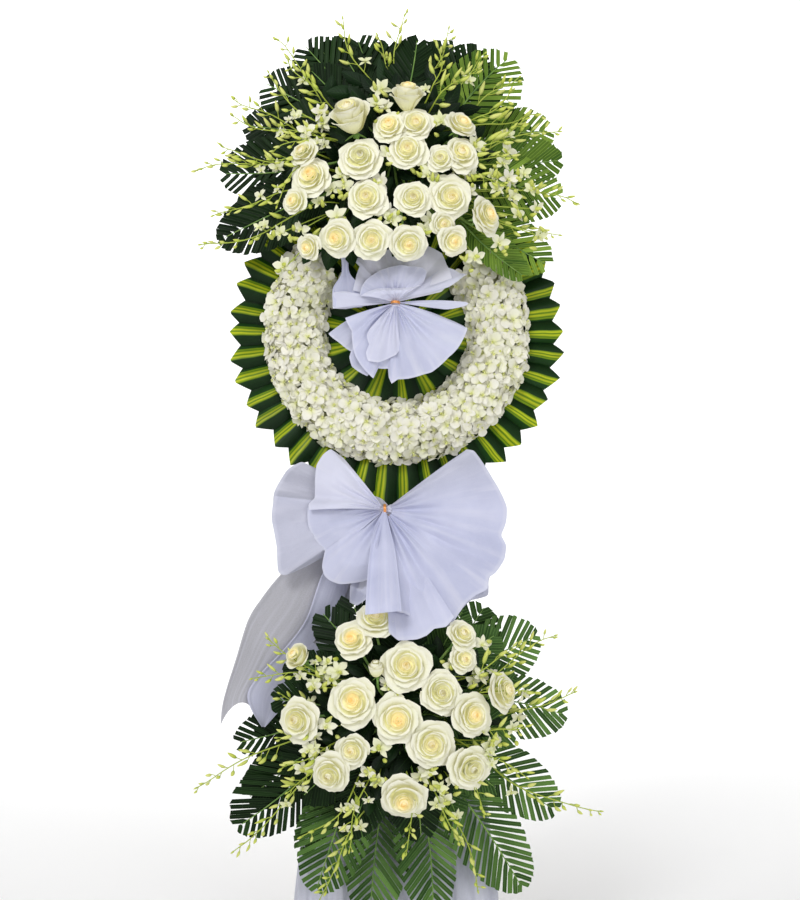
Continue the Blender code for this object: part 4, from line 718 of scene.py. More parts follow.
# Fronds in millimetres: root on the foam across and up, tip across and up, half width and depth, then tone
DARK, BRIGHT, MID = 0, 1, 2
PALMS = (PALM_DARK, PALM_BRIGHT, PALM_MID)
FRONDS = {
    "frond_top_a": [(-70, 1640, -185, 1772, 75, -60, DARK), (-60, 1640, -130, 1792, 52, -42, DARK)],
    "frond_top_b": [(-35, 1640, -80, 1792, 70, -48, DARK), (-10, 1640, -18, 1788, 56, -30, DARK)],
    "frond_top_c": [(15, 1640, 40, 1786, 68, -36, DARK), (35, 1640, 92, 1790, 52, -26, DARK)],
    "frond_top_d": [(50, 1640, 120, 1776, 66, -54, DARK), (85, 1640, 165, 1765, 55, -64, BRIGHT)],
    "frond_top_e": [(105, 1600, 225, 1742, 78, -72, BRIGHT)],
    "frond_top_f": [(105, 1555, 308, 1602, 72, -45, BRIGHT)],
    "frond_top_g": [(105, 1505, 322, 1452, 70, -78, BRIGHT), (105, 1530, 325, 1535, 60, -66, BRIGHT)],
    "frond_top_h": [(105, 1440, 296, 1318, 58, -88, BRIGHT), (105, 1428, 250, 1292, 38, -96, MID)],
    "frond_top_i": [(-120, 1615, -262, 1690, 70, -72, DARK), (-120, 1585, -302, 1612, 58, -45, DARK)],
    "frond_top_k": [(-120, 1530, -345, 1510, 70, -60, DARK), (-120, 1475, -345, 1372, 66, -78, DARK)],
    "frond_bottom_a": [(115, 535, 268, 598, 66, -78, MID), (115, 555, 170, 652, 60, -60, MID)],
    "frond_bottom_b": [(115, 480, 322, 446, 64, -60, MID)],
    "frond_bottom_c": [(115, 400, 300, 268, 60, -78, MID)],
    "frond_bottom_d": [(85, 345, 235, 128, 68, -88, MID)],
    "frond_bottom_e": [(35, 345, 70, 78, 60, -68, MID)],
    "frond_bottom_f": [(-15, 345, -50, 66, 64, -50, MID)],
    "frond_bottom_g": [(-70, 345, -150, 122, 68, -78, MID), (-95, 345, -182, 190, 36, -66, MID)],
    "frond_bottom_h": [(-115, 400, -300, 236, 74, -60, DARK)],
    "frond_bottom_i": [(-115, 450, -306, 392, 50, -46, DARK), (-115, 520, -208, 636, 40, -34, DARK)],
}
# Fronds with two broader blades behind each blade, and those with one; a bright second blade has none
PAIR_BEHIND = ("frond_top_a", "frond_top_b", "frond_top_c", "frond_top_d")
ONE_BEHIND = ("frond_top_e", "frond_top_f", "frond_top_g", "frond_top_i", "frond_top_k", "frond_bottom_h",
              "frond_bottom_i")
# Leaflets: how far apart, how finely their length is tried, and how short and long they may be
LEAFLET_PITCH, BRIGHT_PITCH = 0.0097, 0.0101
LEAFLET_STEP = 0.0015
FIRST_TRY, SHORTEST_LEAFLET, LONGEST_LEAFLET = 0.010, 0.014, 0.22
FOAM_GAP = 0.003
# A frond's rib: how deep it is sunk in the foam, where it ends, its points, and its radius at both ends
RIB_SUNK, RIB_END, RIB_POINTS = 0.028, 0.97, 14
RIB_FOOT_RADIUS, RIB_TIP_RADIUS = 0.0025, 0.0008
FROND_FORWARD = 0.0015
# The second blade on a foot, and the blades behind, have broader leaflets, which are also painted darker as
# painted shade
SECOND_BROAD, BEHIND_BROAD = 1.3, 1.4
BEHIND_BACK, BEHIND_STEP = 0.006, 0.004


def frond(shape, root, tip, half_width, depth, box, draw, slot=0, rib=1, pitch=LEAFLET_PITCH, broad=1.0):
    """A trimmed palm frond: narrow folded leaflets on both sides of a rib, all cut along an oval.

    Its rib is sunk in the foam's box, or starts in front of the foam where there is no box.
    """
    root, tip = np.array(root), np.array(tip)
    length = np.linalg.norm(tip - root)
    along = (tip - root) / length
    side = np.array((-along[1], along[0]))
    bow = draw.uniform(-0.05, 0.05) * length

    def bend(p):
        """The depth of the frond at a place: it bends back away from the foam."""
        if box is None:
            return depth + 0.6 * np.dot(p - root, p - root) - 0.010
        over_side = max(0.0, max(p[0] - box[1], box[0] - p[0]) - 0.02)
        over_end = max(0.0, max(p[1] - box[3], box[2] - p[1]) - 0.02)
        return depth + 0.25 * (over_side ** 2 + over_end ** 2)

    def rib_at(share):
        return root + along * length * share + side * bow * math.sin(math.pi * share)

    sunk = -RIB_SUNK / length if box is not None else 0.0
    ribs = np.array([rib_at(s) for s in np.linspace(sunk, RIB_END, RIB_POINTS)])
    line = [(p[0], bend(p) - FROND_FORWARD, p[1]) for p in ribs]
    shape.tube(line, np.linspace(RIB_FOOT_RADIUS, RIB_TIP_RADIUS, RIB_POINTS), tint=0.8, slot=rib)
    middle, reach = 0.54 * length, 0.50 * length

    def room_along(start, way):
        """How far a leaflet runs before the oval or the foam ends it."""
        ends = FIRST_TRY
        while ends < LONGEST_LEAFLET:
            q = start + way * (ends + LEAFLET_STEP)
            px, py = np.dot(q - root, along), np.dot(q - root, side)
            if ((px - middle) / reach) ** 2 + (py / half_width) ** 2 > 1.0:
                break
            if (box is not None and box[0] - FOAM_GAP < q[0] < box[1] + FOAM_GAP
                    and box[2] - FOAM_GAP < q[1] < box[3] + FOAM_GAP):
                break
            ends += LEAFLET_STEP
        return ends

    v, u = rows_and_columns(6, 3)
    for hand in (1.0, -1.0):
        share = 0.02 + 0.010 * (hand < 0)
        while share < RIB_END:
            angle = math.radians(58 - 28 * share + draw.uniform(-1.5, 1.5))
            share += pitch / (length * math.sin(angle))
            start = rib_at(share)
            way = along * math.cos(angle) + side * hand * math.sin(angle)
            across_way = np.array((-way[1], way[0]))
            width = draw.uniform(0.0084, 0.0094) * broad
            wide = width / 2 * np.minimum(1.0, 0.45 + v * 3.2) * (1 - 0.06 * v ** 2)
            ends = np.array([room_along(start + across_way * e * width / 2, way) for e in u[0]])
            if ends.min() < SHORTEST_LEAFLET:
                continue
            ends = np.minimum(ends, ends.min() + width * 0.5)[None, :] * draw.uniform(0.97, 1.0)
            out = v * (ends + u * draw.uniform(-0.15, 0.15) * width)
            twist = draw.uniform(-0.16, 0.16) + 0.14 * hand
            sag = draw.uniform(-0.02, 0.05) * ends * v ** 2
            swing = draw.uniform(-0.025, 0.025) * ends * v ** 2
            flat = (start[None, None, :] + out[..., None] * way
                    + (u * wide * math.cos(twist) + swing)[..., None] * across_way)
            fold = 0.34 * (1 - abs(u)) * wide
            y = np.apply_along_axis(bend, 2, flat) - FROND_FORWARD - (u * wide * math.sin(twist)) + fold + sag
            points = np.stack([flat[..., 0], y, flat[..., 1]], axis=-1)
            # Painted shade: the tint is divided by broad cubed, so the second blades and the blades behind
            # are darker
            shape.grid(points, u, v, draw.uniform(0, 1) ** 1.4 / broad ** 3, 0.0, slot)


def make_fronds():
    """The outer fronds, with broader blades behind them where they are dense."""
    for node, blades in FRONDS.items():
        draw = random.Random(node)
        box = BOUQUETS["top" if "_top_" in node else "bottom"]["box"]
        shape = Shape()
        for k, (*sizes, tone) in enumerate(blades):
            sizes = np.array(sizes) / 1000
            root, tip, (half_width, depth) = sizes[:2], sizes[2:4], sizes[4:]
            frond(shape, root, tip, half_width, depth, box, draw,
                  pitch=BRIGHT_PITCH if tone == BRIGHT else LEAFLET_PITCH, broad=SECOND_BROAD if k else 1.0)
            hands = ()
            if node in PAIR_BEHIND and (tone != BRIGHT or k == 0):
                hands, reach = (-1, 1), 0.90
            elif node in ONE_BEHIND and (tone != BRIGHT or k == 0):
                hands, reach = (draw.choice((-1, 1)),), 0.82
            for layer, hand in enumerate(hands):
                turn = math.radians(hand * draw.uniform(7, 11))
                x, z = reach * (tip[0] - root[0]), reach * (tip[1] - root[1])
                under = (root[0] + x * math.cos(turn) - z * math.sin(turn),
                         root[1] + x * math.sin(turn) + z * math.cos(turn))
                frond(shape, root, under, half_width * reach, depth + BEHIND_BACK + BEHIND_STEP * layer, box,
                      draw, slot=2, broad=BEHIND_BROAD)
        # The blades behind get a darker palm as painted shade: the mid palm behind a bright frond, else the
        # dark one
        tone = blades[0][-1]
        behind = PALM_MID if tone == BRIGHT else PALM_DARK
        shape.build(node.replace("frond", "palm"), [node], [PALMS[tone], STEM, behind])


# Parts of a floret: angle in degrees, then length and width as shares of its radius
SEPALS = ((0, 0.98, 0.70), (124, 0.94, 0.70), (-124, 0.94, 0.70))
PETALS = ((63, 1.00, 1.04), (-63, 1.00, 1.04))
LIP_LENGTH, LIP_WIDTH = 0.38, 0.28
COLUMN_LENGTH, COLUMN_RADIUS = 0.28, 0.09


def floret(shape, centre, facing, up, radius, draw, petals=0, throat=1, loose=1.0, slim=0.74, pointed=0.0):
    """A dendrobium bloom: three sepals, two broad petals, a lip and a small column."""
    right, top = across(facing, up)
    tint = draw.uniform(0, 1) + pointed
    for angle, length, width in SEPALS + PETALS:
        a = math.radians(angle + draw.uniform(-8, 8))
        along = unit(math.sin(a) * right + math.cos(a) * top + facing * draw.uniform(-0.05, 0.30) * loose)
        side = unit(np.cross(along, facing))
        lifted = unit(np.cross(side, along))
        if np.dot(lifted, facing) < 0:
            lifted = -lifted
        wide = width > 0.9
        shape.petal(centre + facing * radius * (0.08 if wide else 0.0), along, side, lifted, radius * length,
                    radius * width * slim * draw.uniform(0.92, 1.05), rise=draw.uniform(-0.28, 0.06),
                    cup=draw.uniform(0.05, 0.45), broad=(0.62 if wide else 0.56) - 0.10 * pointed,
                    tip=(0.50 if wide else 0.62) + 0.40 * pointed, tint=tint, slot=petals)
    down = unit(-top + facing * 0.9)
    side = unit(np.cross(down, facing))
    shape.petal(centre + facing * radius * 0.10, down, side, unit(facing + top * 0.6), radius * LIP_LENGTH,
                radius * LIP_WIDTH, rise=-0.15, cup=1.1, tip=0.7, tint=tint, slot=throat, rows=5)
    shape.pod(DROP_FORM, centre, unit(facing - top * 0.15), NO_BEND, radius * COLUMN_LENGTH,
              radius * COLUMN_RADIUS, slot=throat, sides=5)


# The garland: an open ring, with rows of florets tilted from its inner side to its outer one
GARLAND_RADIUS = 0.202
GARLAND_START = math.radians(42.0)
GARLAND_SWEEP = math.pi + 2 * GARLAND_START
GARLAND_BACK = -0.0235
CORE_HALF_WIDTH, CORE_DEPTH = 0.046, 0.020
FLORETS_HALF_WIDTH, FLORETS_DEPTH = 0.054, 0.034
FLORET_TILTS = (-86, -66, -46, -27, -8, 11, 30, 50, 70, 90)
FLORET_SPACING, FLORET_RADIUS = 0.0232, 0.0200


def make_garland():
    """Florets packed over a rounded ring that is open at the top."""
    draw = random.Random(41)
    shape = Shape()
    angle = GARLAND_START - GARLAND_SWEEP * np.linspace(0, 1, 60)[:, None]
    around = np.linspace(-math.pi / 2, math.pi / 2, 13)[None, :]
    r = GARLAND_RADIUS + CORE_HALF_WIDTH * np.sin(around)
    y = GARLAND_BACK - CORE_DEPTH * np.cos(around)
    core = np.stack([r * np.cos(angle), y * np.ones_like(angle), RING_Z + r * np.sin(angle)], axis=-1)
    # The core is painted as shaded yellow-green petal, so the gaps between the florets show painted shade
    shape.grid(core, 0.0, 0.0, 1.2, 0.80)
    for row, tilt in enumerate(np.radians(FLORET_TILTS)):
        radius = GARLAND_RADIUS + FLORETS_HALF_WIDTH * math.sin(tilt)
        count = round(radius * GARLAND_SWEEP / FLORET_SPACING)
        for i in range(count):
            step = i + 0.25 + 0.5 * (row % 2) + draw.uniform(-0.12, 0.12)
            a = GARLAND_START - GARLAND_SWEEP * step / count
            way = np.array((math.cos(a), 0.0, math.sin(a)))
            normal = unit(way * math.sin(tilt) * 0.9 - np.array((0.0, math.cos(tilt) + 0.30, 0.0)))
            facing = unit(normal + np.array([draw.uniform(-0.36, 0.36) for _ in range(3)]))
            centre = (way * (radius + draw.uniform(-0.002, 0.002))
                      + np.array((0.0, GARLAND_BACK - FLORETS_DEPTH * math.cos(tilt), RING_Z)))
            up = unit(way * draw.uniform(-1, 1) + np.array((draw.uniform(-1, 1), 0, draw.uniform(-1, 1))))
            floret(shape, centre + normal * draw.uniform(-0.002, 0.003), facing, up,
                   FLORET_RADIUS * draw.uniform(0.86, 1.14), draw, loose=1.4, slim=0.95, pointed=0.10)
    shape.build("garland_florets", ["orchid_garland"], [ORCHID, THROAT])


# The leaves that hang lowest, where the collar shows above the lower bow, are longer: their direction,
# and how much their tips and the notches between them reach out
LOWEST_LEAF, LOW_SPREAD = math.pi + 0.04, 0.14
LOW_GROWTH, LOW_NOTCH = 0.046, 0.034
LEAF_FRONT, RIDGE_HEIGHT, LEAF_LAP = -0.0022, 0.0165, 0.006


def folded_leaves(name, node, leaves, inner, tip, notch, draw, start=0.0):
    """Striped leaves folded on their rib, each one lapping over the next."""
    shape = Shape()
    step = FULL_TURN / leaves
    v, u = rows_and_columns(12, 13)
    for k in range(leaves):
        turn = start + step * (k + 0.5) + draw.uniform(-0.06, 0.06) * step
        size = draw.uniform(0.985, 1.015)
        skew = draw.uniform(-0.34, 0.02)
        low = math.exp(-((turn - LOWEST_LEAF) / LOW_SPREAD) ** 2)
        size += LOW_GROWTH * low
        valley = notch + LOW_NOTCH * low
        outer = valley + (tip * size - valley) * (1 - abs(u - skew) / (1 + np.sign(u - skew) * -skew))
        reach = inner + (outer - inner) * v
        angle = turn + u * step * 0.5 * (1.10 + 0.06 * v)
        from_rib = (u - skew * v) / (1 + np.sign(u - skew * v) * -skew * v)
        ridge = (1 - abs(from_rib) ** 1.25) * (0.35 + 0.65 * v)
        lap = LEAF_LAP * (1 - u) / 2 * (0.3 + 0.7 * v)
        wave = 0.0012 * np.sin(7 * v + 3 * u + k * 1.7) * v
        y = LEAF_FRONT - RIDGE_HEIGHT * ridge - lap + wave
        points = np.stack([reach * np.sin(angle), y, RING_Z + reach * np.cos(angle)], axis=-1)
        shape.grid(points, u, v, draw.uniform(0, 1), draw.uniform(0, 1))
    shape.build(name, [node], [STRIPED])


def make_leaf_rings():
    """The collar outside the garland and the rosette inside it."""
    folded_leaves("striped_collar", "leaf_collar", leaves=42, inner=0.150, tip=0.3335, notch=0.3095,
                  draw=random.Random(5))
    folded_leaves("striped_rosette", "leaf_rosette", leaves=14, inner=0.004, tip=0.166, notch=0.160,
                  draw=random.Random(8), start=0.1)


# Sprays in millimetres: root on the foam, then the tips
SPRAYS = {
    "spray_top_left": [(-120, 1555), [(-315, 1642), (-322, 1592), (-338, 1540), (-232, 1756)]],
    "spray_top_far_left": [(-120, 1470), [(-388, 1484), (-376, 1338), (-352, 1392)]],
    "spray_top_middle": [(0, 1640), [(-105, 1800), (-40, 1764), (7, 1806), (100, 1782)]],
    "spray_top_right": [(105, 1590), [(182, 1724), (232, 1690), (276, 1618)]],
    "spray_top_far_right": [(105, 1480), [(322, 1562), (352, 1430), (318, 1368)]],
    "spray_bottom_left": [(-115, 425), [(-372, 312), (-312, 205), (-222, 480)]],
    "spray_bottom_right": [(115, 430), [(304, 592), (336, 486), (384, 276)]],
    "spray_bottom_low": [(10, 345), [(-135, 98), (144, 122)]],
}
SPRAY_ROOT_Y = -0.0985
OUTER_DEPTH = (SPRAY_ROOT_Y, -0.020, -0.012)
# A spray's stem, from its foot to its tip, and the thick foot that a group shares
SPRAY_RADII, SPRAY_POINTS = (0.0018, 0.0009), 34
GROUP_SUNK, GROUP_OUT, GROUP_RADIUS = 0.024, 0.009, 0.0040
GROUP_START, GROUP_SPREAD = 0.006, 0.0024
# Shares of a spray where its blooms, its buds and its end are, then the sizes of its parts
LAST_BLOOM, LAST_BUD, SPRAY_END = 0.55, 0.97, 0.985
STALK_RADIUS, SPRAY_BLOOM, BUD_LENGTH, BUD_RADIUS = 0.0008, 0.0155, 0.0200, 0.0040
TIP_BUD = (0.009, 0.0018)


def spray(shape, root, tip, draw, turn, blooms, depth=OUTER_DEPTH, bare=0.30, slots=(0, 1, 2)):
    """A thin stem with a few open blooms low down and buds that get smaller to its tip.

    Depth is its root's, then how far it comes on by its middle and by its tip. Bare is the share
    without buds, and slots are the materials of its buds, petals and throats.
    """
    bud_slot, petal_slot, throat_slot = slots
    flat = tip - root
    length = np.linalg.norm(flat)
    along = flat / length
    side = np.array((-along[1], along[0]))
    bow = 0.026 * turn + draw.uniform(-0.016, 0.016)
    wave, phase = draw.uniform(0.0015, 0.0040), draw.uniform(0, 6)
    curl = draw.uniform(-0.016, 0.016)

    def at(share):
        fade = share * (1 - share) * 4
        p = root + flat * share + side * (bow * fade + wave * math.sin(share * 9 + phase) * min(1.0, 3 * fade)
                                          + curl * max(0.0, share - 0.55) ** 2 * 4)
        y = depth[0] + depth[1] * min(1.0, share / 0.45) + depth[2] * share ** 2
        return np.array((p[0], y, p[1]))

    line = np.array([at(s) for s in np.linspace(0, 1, SPRAY_POINTS)])
    shape.tube(line, np.linspace(*SPRAY_RADII, SPRAY_POINTS), 5, deep=0.75, slot=bud_slot)
    room, room_side = np.array((along[0], 0, along[1])), np.array((side[0], 0, side[1]))
    share, hand = bare, draw.choice((-1.0, 1.0))
    while share < LAST_BUD:
        size = 1.30 - 0.95 * share
        share += (0.0065 + 0.0120 * size * draw.uniform(0.4, 1.5)) / length
        if share > SPRAY_END:
            break
        hand = -hand if draw.random() < 0.75 else hand
        here = at(share)
        way = unit(room * draw.uniform(0.4, 1.5) + hand * draw.uniform(0.5, 1.1) * room_side
                   + np.array((0, draw.uniform(-0.7, 0.2), 0)))
        stalk = (0.003 + 0.013 * size) * draw.uniform(0.5, 1.25)
        droop = unit(way + room * draw.uniform(-0.2, 0.9)
                     + np.array((0, draw.uniform(-0.3, 0.1), draw.uniform(-0.9, 0.3))))
        foot = here + way * stalk * 0.7 + droop * stalk * 0.3
        line = smooth_line([here, here + way * stalk * 0.55, foot], 5)
        shape.tube(line, STALK_RADIUS, 4, deep=0.7, slot=bud_slot)
        if share < LAST_BLOOM and draw.random() < blooms:
            facing = unit(droop + np.array((0, -1.2, 0)))
            floret(shape, foot, facing, (0, 0, 1), SPRAY_BLOOM * draw.uniform(0.75, 1.2), draw, petal_slot,
                   throat_slot, loose=2.2, slim=0.62, pointed=1.0)
        else:
            bend = room * draw.uniform(0.2, 1.0) + np.array((0, 0, 0.5))
            bud_length = BUD_LENGTH * size * draw.uniform(0.7, 1.25)
            bud_radius = BUD_RADIUS * size ** 0.6 * draw.uniform(0.85, 1.2)
            shape.pod(LONG_FORM, foot - droop * 0.001, droop, bend, bud_length, bud_radius,
                      tint=draw.uniform(0, 1), slot=bud_slot)
    shape.pod(DROP_FORM, at(SPRAY_END), at(1.0) - at(LAST_BUD), NO_BEND, *TIP_BUD, tint=0.2, slot=bud_slot)


def make_sprays():
    """Groups of sprays, each on one foot in the foam."""
    for node, (root, tips) in SPRAYS.items():
        draw = random.Random(node)
        shape = Shape()
        root, tips = np.array(root) / 1000, np.array(tips) / 1000
        ways = [unit(tip - root) for tip in tips]
        out = unit(sum(ways))
        across_way = np.array((-out[1], out[0]))
        order = sorted(range(len(tips)), key=lambda k: np.dot(ways[k], across_way))
        foot, end = root - out * GROUP_SUNK, root + out * GROUP_OUT
        shape.tube([(p[0], SPRAY_ROOT_Y, p[1]) for p in (foot, root, end)], GROUP_RADIUS, 8, deep=0.6)
        for i, k in enumerate(order):
            turn = 2 * i / (len(tips) - 1) - 1
            start = root + out * GROUP_START + across_way * GROUP_SPREAD * turn
            spray(shape, start, tips[k], draw, turn, 0.10 if "middle" in node else 0.35)
        shape.build(node.replace("spray", "bud_spray"), [node], [BUD, ORCHID, THROAT])


# Loose orchid blooms between the roses, in millimetres across and up the board
LOOSE = {
    "top": [(-146, 1595), (-172, 1560), (-140, 1572), (85, 1575), (182, 1475), (192, 1450), (222, 1435),
            (258, 1450), (-182, 1372), (-113, 1392), (-222, 1365), (-214, 1300), (272, 1360), (60, 1470),
            (-30, 1455), (-100, 1450), (150, 1530), (205, 1500), (-8, 1385), (66, 1385), (140, 1440),
            (-20, 1600), (-28, 1640), (150, 1318), (-105, 1468), (-19, 1397), (58, 1483), (54, 1367),
            (-15, 1507), (212, 1522), (141, 1475), (-159, 1490), (-122, 1444), (-39, 1606), (232, 1400),
            (196, 1345), (245, 1482), (268, 1412), (214, 1470), (-148, 1421)],
    "bottom": [(-128, 545), (-108, 530), (-150, 500), (-118, 515), (-18, 508), (-30, 392), (-34, 330),
               (-52, 345), (60, 350), (100, 335), (78, 318), (170, 395), (155, 520), (215, 425), (-160, 385),
               (100, 540), (45, 340), (-11, 500), (90, 296), (-172, 352), (184, 403), (236, 486), (160, 580),
               (-128, 430)],
}
# Directions in degrees round each bouquet in which short sprays stand between the blooms
SHORT_SPRAYS = {"top": (-22, -4, 8, 22, 36, 62, 140, 154, 168, 180, 192, 206),
                "bottom": (-130, -112, -88, -66, -44, -24, -6, 12, 30, 152, 170, 186, 204, 220)}
LOOSE_DEPTH, LOOSE_DOME, LOOSE_REACH = -0.188, 0.040, 0.24
LOOSE_ROOT_Y, LOOSE_STEM, LOOSE_BUD = -0.106, 0.0012, (0.019, 0.0042)
SHORT_DEPTH = (-0.115, -0.058, 0.012)


def make_loose_blooms():
    """Single blooms with a few buds beside them, and short sprays, between the roses."""
    for where, places in LOOSE.items():
        draw = random.Random(where)
        shape = Shape()
        x0, z0 = BOUQUETS[where]["middle"]
        left, right, low, high = BOUQUETS[where]["box"]
        for x, z in np.array(places) / 1000:
            far = math.hypot(x - x0, z - z0)
            centre = np.array((x, LOOSE_DEPTH + LOOSE_DOME * min(1.0, far / LOOSE_REACH) ** 2, z))
            facing = unit((0.5 * (x - x0) / 0.2 + draw.uniform(-0.4, 0.4), -1.0,
                           0.4 * (z - z0) / 0.2 + draw.uniform(-0.4, 0.4)))
            floret(shape, centre, facing, (draw.uniform(-0.6, 0.6), 0, 1), draw.uniform(0.016, 0.024), draw,
                   loose=2.2, slim=0.66, pointed=draw.uniform(0.2, 1.3))
            for _ in range(draw.randint(2, 4)):
                beside = centre + np.array((draw.uniform(-0.022, 0.022), 0.004, draw.uniform(-0.026, 0.010)))
                along = (draw.uniform(-0.6, 0.6), -0.7, draw.uniform(-0.8, 0.3))
                shape.pod(LONG_FORM, beside, along, (draw.uniform(-1, 1), 0, 1), *LOOSE_BUD,
                          tint=draw.uniform(0.2, 0.9), slot=2)
            foot = np.array((np.clip(x, left + 0.01, right - 0.01) * 0.8, LOOSE_ROOT_Y,
                             np.clip(z, low + 0.01, high - 0.01)))
            middle = (foot + centre) / 2 + np.array((0, -0.01, 0))
            line = smooth_line([foot, middle, centre - facing * 0.004], 9)
            shape.tube(line, LOOSE_STEM, 5, slot=2, deep=0.8)
        for degrees in SHORT_SPRAYS[where]:
            a = math.radians(degrees + draw.uniform(-5, 5))
            way = np.array((math.cos(a), math.sin(a)))
            start = np.array((x0, z0)) + way * draw.uniform(0.06, 0.11)
            end = np.array((x0, z0)) + way * draw.uniform(0.22, 0.285)
            spray(shape, start, end, draw, draw.uniform(-1, 1), 0.15 if way[1] > 0.6 else 0.5, SHORT_DEPTH,
                  bare=0.22, slots=(2, 0, 1))
        shape.build(f"loose_blooms_{where}", [], [ORCHID, THROAT, BUD])


# Lobes of the bows: (angle in degrees, reach in millimetres) round the edge, form, millimetres forward
# from the knot to the edge on the first and on the last side, fullness, then the folds:
# (angle, half width in degrees, depth in millimetres, share of the reach where it starts and ends)
UPPER_KNOT = (-0.002, -0.098, 1.239)
UPPER_LOBES = [
    ([(14.4, 92), (22.9, 120), (28.4, 123), (37.9, 127), (48.3, 137), (62.3, 131), (85.4, 112), (107, 107),
     (126, 114), (133.2, 126)],
     "cut", (0, 0, -3, -6, -8), (0, -4, -8, -12, -14), 0,
     [(30, 4, 6, 0.0, 0.7), (48, 5, 7, 0.1, 1), (66, 4, 6, 0.0, 0.9), (84, 5, 6, 0.0, 1),
      (104, 4, 6, 0.0, 1), (120, 3, 5, 0.1, 1)]),
    ([(17, 108), (22.7, 151), (25.5, 140), (30.1, 134), (38, 120)],
     "cut", (0, 0, -2, -4, -6), (0, 0, -2, -6, -8), 0,
     [(25, 2, 3, 0.4, 1)]),
    ([(166, 72), (166.6, 99), (170.3, 123), (178, 122), (185.1, 122), (187, 97)],
     "cut", (0, 2, 2, 0, -4), (0, 4, 5, 3, 0), 0,
     [(172, 2, 3, 0.1, 0.9), (179, 3, 3, 0.0, 1)]),
    ([(133.4, 126), (130.5, 110), (129.8, 104), (150, 90), (163, 86)],
     "cut", (0, -2, -4, -6, -8), (0, 0, -2, -3, -4), 0,
     [(140, 4, 4, 0.2, 1)]),
    ([(36, 68), (44.9, 86), (50.3, 87), (69, 75), (95.4, 70), (119.7, 69), (146.2, 72), (170, 70)],
     "loop", (0, 3, 6, 8, 8), (0, 3, 6, 8, 8), 3,
     [(52, 5, 4, 0.0, 0.8), (72, 6, 6, 0.0, 0.6), (92, 4, 7, 0.0, 0.7), (114, 5, 6, 0.0, 0.8),
      (140, 5, 4, 0.0, 0.8)]),
    ([(31, 62), (37, 42), (52, 31), (75, 26), (105, 25), (132, 31), (155, 48), (172, 68)],
     "cut", (0, 14, 22, 25, 20), (0, 14, 22, 25, 20), 0,
     [(60, 8, 3, 0.0, 1), (90, 8, 3, 0.0, 1), (118, 8, 3, 0.0, 1)]),
    ([(-9, 60), (-8, 100), (-2, 142), (0.1, 142), (2.6, 87), (4, 50)],
     "cut", (0, 3, 4, 4, 2), (0, 3, 5, 5, 3), 0,
     [(-1, 2, 3, 0.0, 0.9)]),
    ([(199.4, 98), (204, 143), (215.9, 133), (228.6, 127)],
     "cut", (0, 0, -4, -6, -8), (0, 0, -4, -6, -8), 0,
     [(210, 3, 4, 0.2, 1), (220, 3, 3, 0.3, 1)]),
    ([(225.9, 118), (230, 139), (235.6, 150), (249.3, 153), (251, 135)],
     "cut", (0, 0, -2, -5, -7), (0, 0, -2, -4, -5), 0,
     [(238, 3, 4, 0.4, 1)]),
    ([(198, 102), (214, 102), (222.5, 113), (233.2, 130), (254, 155), (255.6, 133), (263.7, 130),
     (265, 147), (267.4, 160), (272, 151), (279.2, 153), (291, 152), (297.2, 154), (314.2, 149),
     (323.2, 151), (340, 149), (342, 121), (344.5, 70)],
     "cut", (0, 10, 14, 12, 6), (0, 8, 10, 8, 4), 0,
     [(208, 3, 5, 0.0, 0.8), (218, 3, 6, 0.0, 1), (230, 4, 7, 0.0, 0.9), (243, 3, 6, 0.0, 0.7),
      (256, 3, 7, 0.0, 1), (266, 3, 6, 0.0, 1), (274, 2, 7, 0.0, 1), (284, 3, 6, 0.0, 0.6),
      (296, 4, 6, 0.0, 1), (308, 3, 6, 0.0, 0.8), (318, 4, 6, 0.1, 1), (331, 3, 5, 0.0, 0.9)]),
    ([(228, 72), (230.8, 87), (239.3, 99), (240.5, 116), (246, 128), (254.8, 124), (263, 112), (271, 104),
     (276, 92)],
     "cut", (0, 14, 20, 20, 17), (0, 14, 20, 19, 15), 0,
     [(238, 3, 4, 0.1, 1), (250, 3, 5, 0.1, 0.8), (262, 3, 5, 0.0, 1), (270, 2, 4, 0.0, 1)]),
]
LOWER_KNOT = (-0.022, -0.082, 0.837)
